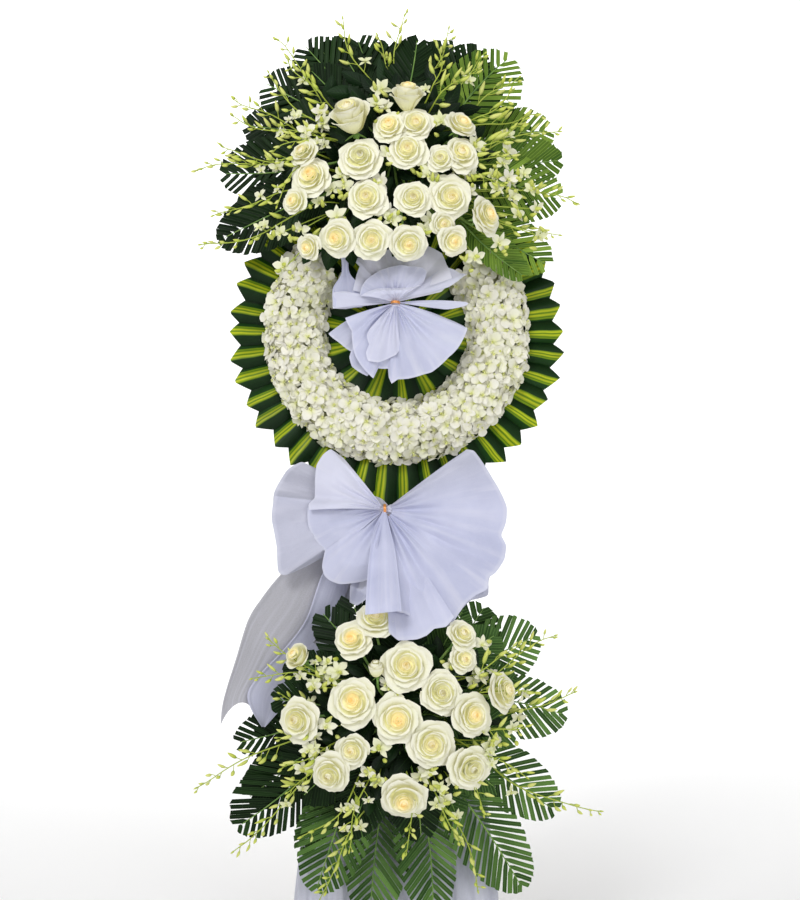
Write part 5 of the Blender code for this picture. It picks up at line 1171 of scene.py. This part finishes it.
LOWER_LOBES = [
    ([(148.7, 150), (149.6, 187), (157.2, 205), (164, 212), (171.4, 218), (178, 216)],
     "loop", (0, -2, -4, -6, -8), (0, 2, 0, -6, -14), 8,
     [(156, 3, 6, 0.1, 0.9), (166, 3, 6, 0.2, 1)]),
    ([(173, 214), (184.7, 219), (192, 217), (199.3, 219), (206, 229), (210.9, 238), (213.5, 230),
     (216.2, 178), (217.6, 144)],
     "loop", (0, 10, 12, 8, 2), (0, 4, 4, 2, 0), 9,
     [(181, 3, 5, 0.1, 0.9), (191, 4, 6, 0.3, 1), (202, 3, 5, 0.1, 0.8)]),
    ([(174.5, 148), (184, 149), (192.9, 150), (200, 147), (208, 143), (216.6, 139), (222, 110)],
     "loop", (0, 22, 26, 24, 14), (0, 14, 20, 20, 12), 8,
     [(180, 3, 6, 0.0, 0.8), (188, 3, 7, 0.0, 0.6), (197, 4, 6, 0.0, 0.9), (208, 3, 5, 0.0, 0.7)]),
    ([(128.6, 128), (131.7, 158), (138, 160), (147.1, 157), (153.7, 149), (163, 140), (171, 136),
     (176.7, 147), (181, 144)],
     "loop", (0, 10, 14, 12, 2), (0, 26, 38, 38, 24), 10,
     [(134, 2, 4, 0.0, 0.9), (142, 4, 6, 0.0, 0.6), (151, 3, 7, 0.0, 0.9), (160, 3, 6, 0.0, 0.7),
      (168, 3, 6, 0.0, 1), (175, 2, 4, 0.0, 0.6)]),
    ([(-24.2, 232), (-34.6, 240), (-40.1, 257), (-47.1, 238), (-56.1, 241), (-61, 254), (-67.3, 242),
     (-74, 235)],
     "loop", (0, 10, 16, 14, 2), (0, 16, 40, 66, 84), 8,
     [(-31, 3, 6, 0.2, 1), (-42, 3, 7, 0.1, 1), (-52, 3, 7, 0.1, 1), (-64, 3, 8, 0.1, 1)]),
    ([(-58, 244), (-63, 252), (-67.9, 246), (-72, 253), (-76, 255), (-84.2, 251), (-88, 235)],
     "cut", (0, 16, 46, 82, 104), (0, 22, 60, 96, 118), 0,
     [(-62, 2, 6, 0.1, 1), (-69, 2, 7, 0.1, 1), (-78, 3, 8, 0.0, 1)]),
    ([(36.4, 196), (33.6, 206), (25.9, 208), (16.2, 214), (8.5, 223), (0.5, 233), (-7.1, 232), (-13.2, 226),
     (-17, 241), (-23.2, 247), (-30.5, 243), (-34, 236), (-38.5, 248), (-44, 238), (-50, 236), (-55.5, 244),
     (-60.5, 254), (-65.5, 245), (-72, 226), (-79, 204), (-85, 196)],
     "loop", (0, 14, 24, 24, 10), (0, 30, 61, 85, 96), 9,
     [(33, 2, 4, 0.0, 1), (24, 4, 5, 0.0, 0.6), (14, 4, 6, 0.0, 0.45), (4, 4, 5, 0.0, 0.7),
      (-6, 4, 6, 0.0, 0.5), (-16, 3, 7, 0.2, 1), (-27, 3, 10, 0.3, 1), (-38, 4, 8, 0.0, 0.8),
      (-49, 3, 9, 0.0, 0.6), (-57, 3, 10, 0.0, 0.5), (-63, 3, 9, 0.0, 0.8), (-71, 3, 10, 0.0, 1),
      (-79, 3, 8, 0.0, 0.7)]),
    ([(260, 132), (255.6, 142), (246.4, 155), (239.5, 167), (233, 172), (228.2, 172), (222.7, 163),
     (218, 148), (214.6, 139)],
     "loop", (0, 24, 44, 52, 44), (0, 17, 24, 26, 18), 8,
     [(252, 3, 6, 0.0, 0.7), (243, 3, 6, 0.0, 0.5), (233, 4, 6, 0.0, 0.8), (224, 3, 6, 0.0, 0.5),
      (214, 3, 6, 0.0, 0.8)]),
    ([(246, 160), (249.5, 190), (254, 192), (258.5, 176), (262, 150)],
     "cut", (0, 6, 16, 24, 28), (0, 8, 20, 30, 36), 0,
     [(253, 2, 5, 0.3, 1)]),
]
# Painted light and shade on each lobe of the bows: how much paler and how much greyer it is painted, and how
# much more shade is painted along its first side
BOW_LIGHT_AND_SHADE = {
    "bow_upper": [(1.2, 0.0), (0.6, 0.0), (0.7, 0.0), (0.8, 0.0), (0.3, 0.0), (0.6, 0.0), (0.5, 0.0),
                  (0.1, 0.25), (0.2, 0.15), (0.2, 0.0), (0.6, 0.0)],
    "bow_lower": [(0.1, 0.60), (0.2, 0.40), (0.2, 0.05), (0.75, 0.0), (0.1, 0.25), (0.2, 0.0),
                  (0.1, 0.0, 0.45), (0.2, 0.0), (0.1, 0.2)],
}
# Ribbon strips in millimetres: left and right edge as (across, depth, up), then folds, their depth, how far
# the end rises between its corners, and how grey the strip is painted, as painted shade
STRIPS = {
    "bow_upper": [
        ([(-110, -100, 1345), (-107, -94, 1300), (-124, -90, 1268), (-123, -92, 1232)],
         [(-92, -100, 1345), (-92, -94, 1302), (-72, -92, 1272), (-66, -96, 1230)],
         2, 4, 0, 0.0),
    ],
    "bow_lower": [
        ([(-60, -74, 800), (-110, -50, 775), (-187, -44, 750), (-229, -46, 709), (-260, -50, 669),
         (-286, -55, 626), (-307, -62, 555), (-330, -70, 474), (-335, -74, 422)],
         [(-40, -70, 790), (-70, -46, 765), (-113, -40, 745), (-140, -40, 703), (-172, -42, 630),
          (-216, -46, 565), (-250, -50, 515), (-277, -56, 478), (-278, -62, 457)],
         1, 4, 26, 1.0),
        ([(-50, -78, 800), (-80, -58, 775), (-113, -50, 757), (-144, -50, 713), (-174, -52, 628),
         (-214, -56, 573), (-258, -60, 527), (-283, -64, 490), (-278, -68, 460), (-256, -72, 424)],
         [(-24, -74, 800), (-40, -52, 775), (-55, -44, 757), (-78, -44, 695), (-97, -46, 651),
          (-126, -50, 588), (-160, -54, 540), (-192, -58, 493), (-219, -64, 459), (-250, -72, 423)],
         1, 5, 0, 0.3),
        ([(-90, -50, 730), (-92, -52, 695), (-108, -56, 655), (-132, -62, 618), (-160, -66, 584)],
         [(-60, -50, 730), (-74, -52, 690), (-88, -56, 648), (-112, -62, 606), (-142, -66, 566)],
         1, 3, 0, 0.8),
        ([(-26, -90, 834), (-42, -112, 800), (-50, -140, 755), (-54, -172, 705), (-56, -205, 660),
         (-57, -218, 634)],
         [(-20, -90, 834), (-12, -112, 800), (-2, -142, 755), (4, -174, 705), (8, -206, 662),
          (10, -218, 641)],
         2, 6, 0, 0.0),
    ],
}
# A lobe starts beside the knot, and its rows run from there to its edge and part of the way back
LOBE_START, FIRST_ROW, LAST_ROW = 0.003, 0.03, 0.10
LOBE_ROWS, BACK_ROWS = 26, 11
SIDE_SHADE_WIDTH = 0.16
# The strips' light value paints them all a little paler, as painted light
STRIP_ROWS, STRIP_COLUMNS, STRIP_SLOT, STRIP_PAINTED_LIGHT = 60, 30, 1, 0.15
# The tie: its wire, and the pick that starts behind the knot and ends in the stand
WIRE_RADIUS, COIL_RADIUS, COIL_HALF = 0.0012, 0.0104, 0.0024
COIL_TURNS, COIL_POINTS = 3, 60
PICK_START, PICK_END, PICK_RADIUS = 0.0105, -0.0003, 0.0020


def radial_fold(share, start, end):
    """How strong a fold is along the reach."""
    rise = np.clip((share - start) / 0.16, 0, 1)
    fall = 1 - np.clip((share - end * 0.55) / (end * 0.45 + 1e-6), 0, 1) if end < 1 else 1.0
    return rise * rise * (3 - 2 * rise) * fall


def lobe(shape, knot, spec, draw, light, grey, side_shade=0.0):
    """A gathered lobe: a loop has a front, a rounded edge and a back, and a cut end has one layer.

    The light and grey values paint the lobe paler and greyer, as painted light and painted shade, and the
    last value paints more shade along its first side.
    """
    edge, kind, near, far, fullness, folds = spec
    angles, reaches = np.array(edge, float).T
    reaches = reaches / 1000
    span = abs(angles[-1] - angles[0])
    columns = int(max(26, span * 1.5))
    run = np.concatenate([[0], np.cumsum(np.hypot(np.diff(angles) / 60, np.diff(reaches) * 8))])
    share = np.linspace(0, 1, columns)
    at = share * run[-1]
    angle, reach = np.interp(at, run, angles), np.interp(at, run, reaches)
    if kind == "loop":
        for _ in range(3):
            for line in (angle, reach):
                line[1:-1] = (line[:-2] + 2 * line[1:-1] + line[2:]) / 4
    swing = np.linspace(0, span / 16, columns)[None, :]
    phase = draw.uniform(0, 6)

    def sheet(s):
        """Depth of the cloth: its way forward, then its folds, then soft waves."""
        places = np.linspace(0, 1, 5)
        first, last = np.interp(s, places, near), np.interp(s, places, far)
        y = -(0.001 * (first * (1 - share[None, :]) + last * share[None, :]))
        for fold_angle, half, depth, start, end in folds:
            drift = fold_angle + 3.0 * np.sin(2.0 * s + fold_angle)
            d = abs(angle[None, :] - drift) / (half * (1.1 + 0.9 * s))
            crest = np.exp(-d ** 1.6) - 0.3 * np.exp(-((d - 1.6) ** 2))
            y = y + (0.00085 + 0.0012 * grey) * depth * radial_fold(s, start, end) * crest
        y = y + 0.0030 * s ** 2 * np.sin(1.1 * swing + phase + 1.5 * s)
        for rate, turn, size in ((2.9, phase * 2, 0.0012), (5.3, phase * 3, 0.0006)):
            y = y + size * s * np.sin(rate * swing + turn + 2.0 * s)
        return y

    def puff(t, s):
        """How far a loop's front and back stand apart."""
        return 0.001 * fullness * np.cos(t * math.pi / 2) * np.sin(math.pi * np.clip(s, 0, 1)) ** 0.5

    if kind == "loop":
        t_front = np.linspace(FIRST_ROW, 1, LOBE_ROWS)[:, None]
        t_back = np.linspace(1, LAST_ROW, BACK_ROWS)[1:, None]
        s_front, s_back = np.sin(t_front * math.pi / 2), np.sin(t_back * math.pi / 2)
        front = sheet(s_front) - puff(t_front, s_front)
        back = sheet(np.array([[1.0]])) * s_back ** 1.2 + puff(t_back, s_back)
        s, y = np.concatenate([s_front, s_back]), np.concatenate([front, back])
        v = np.concatenate([s_front, 2 - s_back])
    else:
        s = v = np.linspace(FIRST_ROW, 1, LOBE_ROWS)[:, None]
        y = sheet(s)
    way = np.radians(angle)[None, :]
    out = LOBE_START + (reach[None, :] - LOBE_START) * s
    points = np.stack([knot[0] + out * np.cos(way), knot[1] + y, knot[2] + out * np.sin(way)], axis=-1)
    # Painted shade: greyer over the lobe, and more so near its first side
    painted_shade = grey + side_shade * np.exp(-(share[None, :] / SIDE_SHADE_WIDTH) ** 2)
    shape.grid(points, share[None, :] * span / 60, v, light, painted_shade)


def pinch(shape, knot, upright):
    """The gathered middle of a bow behind its tie, painted paler as painted light, and the gathers that rise
    from it, painted grey as painted shade.
    """
    turn = np.linspace(0, FULL_TURN, 40, endpoint=False)[None, :]
    half = (0.40, 0.75, 0.93, 0.99, 1.0)
    along = np.array([-place for place in half[::-1]] + [0.0, *half])[:, None]
    r = (0.0066 + 0.0058 * along ** 2) * (1.01 - along ** 16) ** 0.5 * (1 + 0.10 * np.sin(9 * turn))
    down, round_it = along * (0.009 if upright else 0.0145) + 0 * turn, r * np.sin(turn)
    x, z = (round_it, down) if upright else (down, round_it)
    points = np.stack([knot[0] + x, knot[1] + 0.004 + r * np.cos(turn), knot[2] + z], axis=-1)
    # Painted light: the gathered middle is painted paler
    shape.grid(points, turn / 6.28, 0.5, 0.5, 0.0, closed=True)
    s, fan = rows_and_columns(8, 16, 0.0)
    way = np.radians(60 + 78 * fan)
    out = 0.004 + (0.008 + 0.030 * fan ** 2) * s
    y = knot[1] + 0.006 + 0.004 * s + 0.002 * np.sin(way * 9) * s
    points = np.stack([knot[0] + out * np.cos(way), y, knot[2] + out * np.sin(way)], axis=-1)
    # Painted shade: the gathers are painted grey
    shape.grid(points, way, s, 0.0, 0.6)


def strip(shape, spec, draw):
    """A ribbon end between two edges, with long folds."""
    left, right, folds, depth, cut, grey = spec
    depth, cut = depth / 1000, cut / 1000
    v, u = rows_and_columns(STRIP_ROWS, STRIP_COLUMNS, 0.0)
    left, right = (smooth_line(np.array(line) / 1000, STRIP_ROWS)[:, None, :] for line in (left, right))
    points = left * (1 - u)[..., None] + right * u[..., None]
    phase = draw.uniform(0, 6)
    drift = 0.5 * np.sin(2.2 * v + phase)
    fold = depth * np.sin(u * FULL_TURN * folds * 0.5 + drift + phase)
    fold = fold - 0.8 * depth * np.exp(-abs(u - 0.03) / 0.04) + 0.4 * depth * np.exp(-abs(u - 0.97) / 0.04)
    points[..., 1] += fold * np.minimum(1.0, 0.15 + v * 2.0)
    points[..., 2] += cut * v ** 10 * np.sin(math.pi * u) ** 0.6
    shape.grid(points, u, v * 0.9, STRIP_PAINTED_LIGHT, grey, STRIP_SLOT)


def tie(name, node, knot, upright):
    """The wire round the knot and the pick behind it."""
    shape = Shape()
    x0, y0, z0 = knot
    a = np.linspace(0, FULL_TURN * COIL_TURNS, COIL_POINTS)
    drift, round_it = np.linspace(-COIL_HALF, COIL_HALF, COIL_POINTS), COIL_RADIUS * np.sin(a)
    x, z = (0.80 * round_it, drift) if upright else (drift, round_it)
    shape.tube(np.stack([x0 + x, y0 + COIL_RADIUS * np.cos(a), z0 + z], axis=1), WIRE_RADIUS)
    pick = (y0 + PICK_START, (y0 + PICK_END) / 2, PICK_END)
    shape.tube([(x0, y, z0) for y in pick], PICK_RADIUS, 8)
    shape.build(name, [node], [WIRE])


def make_bows():
    """Both bows of gathered ribbon, with their loose ends and ties."""
    draw = random.Random(12)
    for name, node, knot, lobes in (("organza_upper", "bow_upper", UPPER_KNOT, UPPER_LOBES),
                                    ("organza_lower", "bow_lower", LOWER_KNOT, LOWER_LOBES)):
        shape = Shape()
        for spec, tones in zip(lobes, BOW_LIGHT_AND_SHADE[node]):
            lobe(shape, knot, spec, draw, *tones)
        pinch(shape, knot, node == "bow_upper")
        for spec in STRIPS[node]:
            strip(shape, spec, draw)
        piece = shape.build(name, [node], [ORGANZA, RIBBON_END])
    tie("tie_upper", "bow_upper_tie", UPPER_KNOT, True)
    tie("tie_lower", "bow_lower_tie", LOWER_KNOT, False)


# The skirt wraps the front legs: half its width at the rail and at the floor, and how far it turns back
SKIRT_TOP, SKIRT_FLOOR, SKIRT_BACK = 0.158, 0.203, 0.055
SKIRT_FRONT_Y, SKIRT_RAIL_Z, FLOOR_GAP = -0.0105, 0.4047, 0.003
# Its folds, as depth and number, and the crease across it, as depth, place up the cloth and half width
BROAD_FOLD, BROAD_FOLDS = 0.0042, 13
FINE_FOLD, FINE_FOLDS = 0.0016, 29
CREASE, CREASE_UP, CREASE_HALF = 0.0022, 0.19, 0.012
SKIRT_COLUMNS, SKIRT_ROWS = 150, 30


def make_skirt():
    """White cloth round the feet in soft folds."""
    shape = Shape()
    share = np.linspace(0, 1, SKIRT_COLUMNS)
    level = np.linspace(0, 1, SKIRT_ROWS)
    sheet = []
    for up in level:
        half = SKIRT_FLOOR + (SKIRT_TOP - SKIRT_FLOOR) * up
        run = share * (2 * half + 2 * SKIRT_BACK)
        first_side, last_side = run < SKIRT_BACK, run > 2 * half + SKIRT_BACK
        x = np.clip(run - SKIRT_BACK - half, -half, half)
        y = np.where(first_side, SKIRT_BACK - run, np.where(last_side, run - 2 * half - SKIRT_BACK, 0.0))
        y = y + SKIRT_FRONT_Y
        drift = 0.8 * np.sin(up * 3)
        fold = BROAD_FOLD * np.sin(share * FULL_TURN * BROAD_FOLDS + drift) * (1 - 0.5 * up)
        fold += FINE_FOLD * np.sin(share * FULL_TURN * FINE_FOLDS + 2.0 + up * 2)
        fold += CREASE * np.exp(-((up - CREASE_UP - 0.01 * np.sin(share * 9)) / CREASE_HALF) ** 2)
        on_side = first_side | last_side
        x = np.where(on_side, x - np.sign(x) * fold, x)
        y = np.where(on_side, y, y + fold)
        low = (FLOOR_GAP + y * math.sin(LEAN)) / math.cos(LEAN)
        sheet.append(np.stack([x, y, low + (SKIRT_RAIL_Z - low) * up], axis=-1))
    width = 2 * SKIRT_FLOOR + 2 * SKIRT_BACK
    shape.grid(np.array(sheet), share[None, :] * width, level[:, None] * 0.4)
    piece = shape.build("skirt_cloth", ["base_skirt"], [SKIRT])


def dress_nodes():
    """Materials for the CAD pieces that stay as they are."""
    for node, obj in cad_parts.items():
        if node.startswith(("leg_", "rail_")):
            material = LEG_WOOD
        elif node == "backing_board":
            material = BOARD_WOOD
        elif node.startswith("foam_"):
            material = FOAM
        else:
            continue
        obj.data.materials.clear()
        obj.data.materials.append(material)


def place_object(name, data, location=(0.0, 0.0, 0.0)):
    """An object of the studio, linked to the scene."""
    placed = bpy.data.objects.new(name, data)
    placed.location = location
    bpy.context.scene.collection.objects.link(placed)
    return placed


def make_stage():
    """A pale floor that sweeps up behind, soft light and the camera."""
    mesh = bpy.data.meshes.new("floor")
    profile = [(-6.0, 0.0), (3.0, 0.0)]
    profile += [(3.0 + 2.0 * math.sin(a), 2.0 - 2.0 * math.cos(a)) for a in np.linspace(0.1, math.pi / 2, 12)]
    profile += [(5.0, 9.0)]
    points = [(x, y, z) for y, z in profile for x in (-9.0, 9.0)]
    faces = [(2 * i, 2 * i + 1, 2 * i + 3, 2 * i + 2) for i in range(len(profile) - 1)]
    mesh.from_pydata(points, [], faces)
    for polygon in mesh.polygons:
        polygon.use_smooth = True
    paint = Paint("pale_floor", 0.9, Base_Color=(0.93, 0.93, 0.93, 1.0))
    mesh.materials.append(paint.material)
    floor = place_object("floor", mesh)

    world = bpy.data.worlds.new("studio")
    world.use_nodes = True
    colour, strength = world.node_tree.nodes["Background"].inputs[:2]
    colour.default_value = (1.0, 1.0, 1.0, 1.0)
    strength.default_value = 0.50
    bpy.context.scene.world = world

    for name, place, aim, size, power in (
            ("key", (-1.5, -3.0, 3.3), (0.0, 0.0, 1.0), 1.3, 62.0),
            ("fill", (2.0, -4.0, 1.35), (0.0, 0.0, 0.7), 2.0, 43.0),
            ("back", (0.0, 2.4, 4.0), (0.0, 4.9, 1.6), 3.0, 130.0)):
        light = bpy.data.lights.new(name, "AREA")
        light.shape = "SQUARE"
        light.size = size
        light.energy = power
        lamp = place_object(name, light, place)
        lamp.visible_camera = False
        lamp.rotation_euler = (Vector(aim) - Vector(place)).to_track_quat("-Z", "Y").to_euler()

    camera = bpy.data.cameras.new("camera")
    camera.lens = 66.0
    camera.sensor_width = 36.0
    eye = place_object("camera", camera, (0.007, -3.3, 0.956))
    eye.rotation_euler = (math.pi / 2, 0.0, 0.0)
    bpy.context.scene.camera = eye
    bpy.context.scene.view_settings.view_transform = "Standard"


make_stage()
dress_nodes()
make_roses()
make_stems()
make_fronds()
make_garland()
make_leaf_rings()
make_sprays()
make_loose_blooms()
make_bows()
make_skirt()
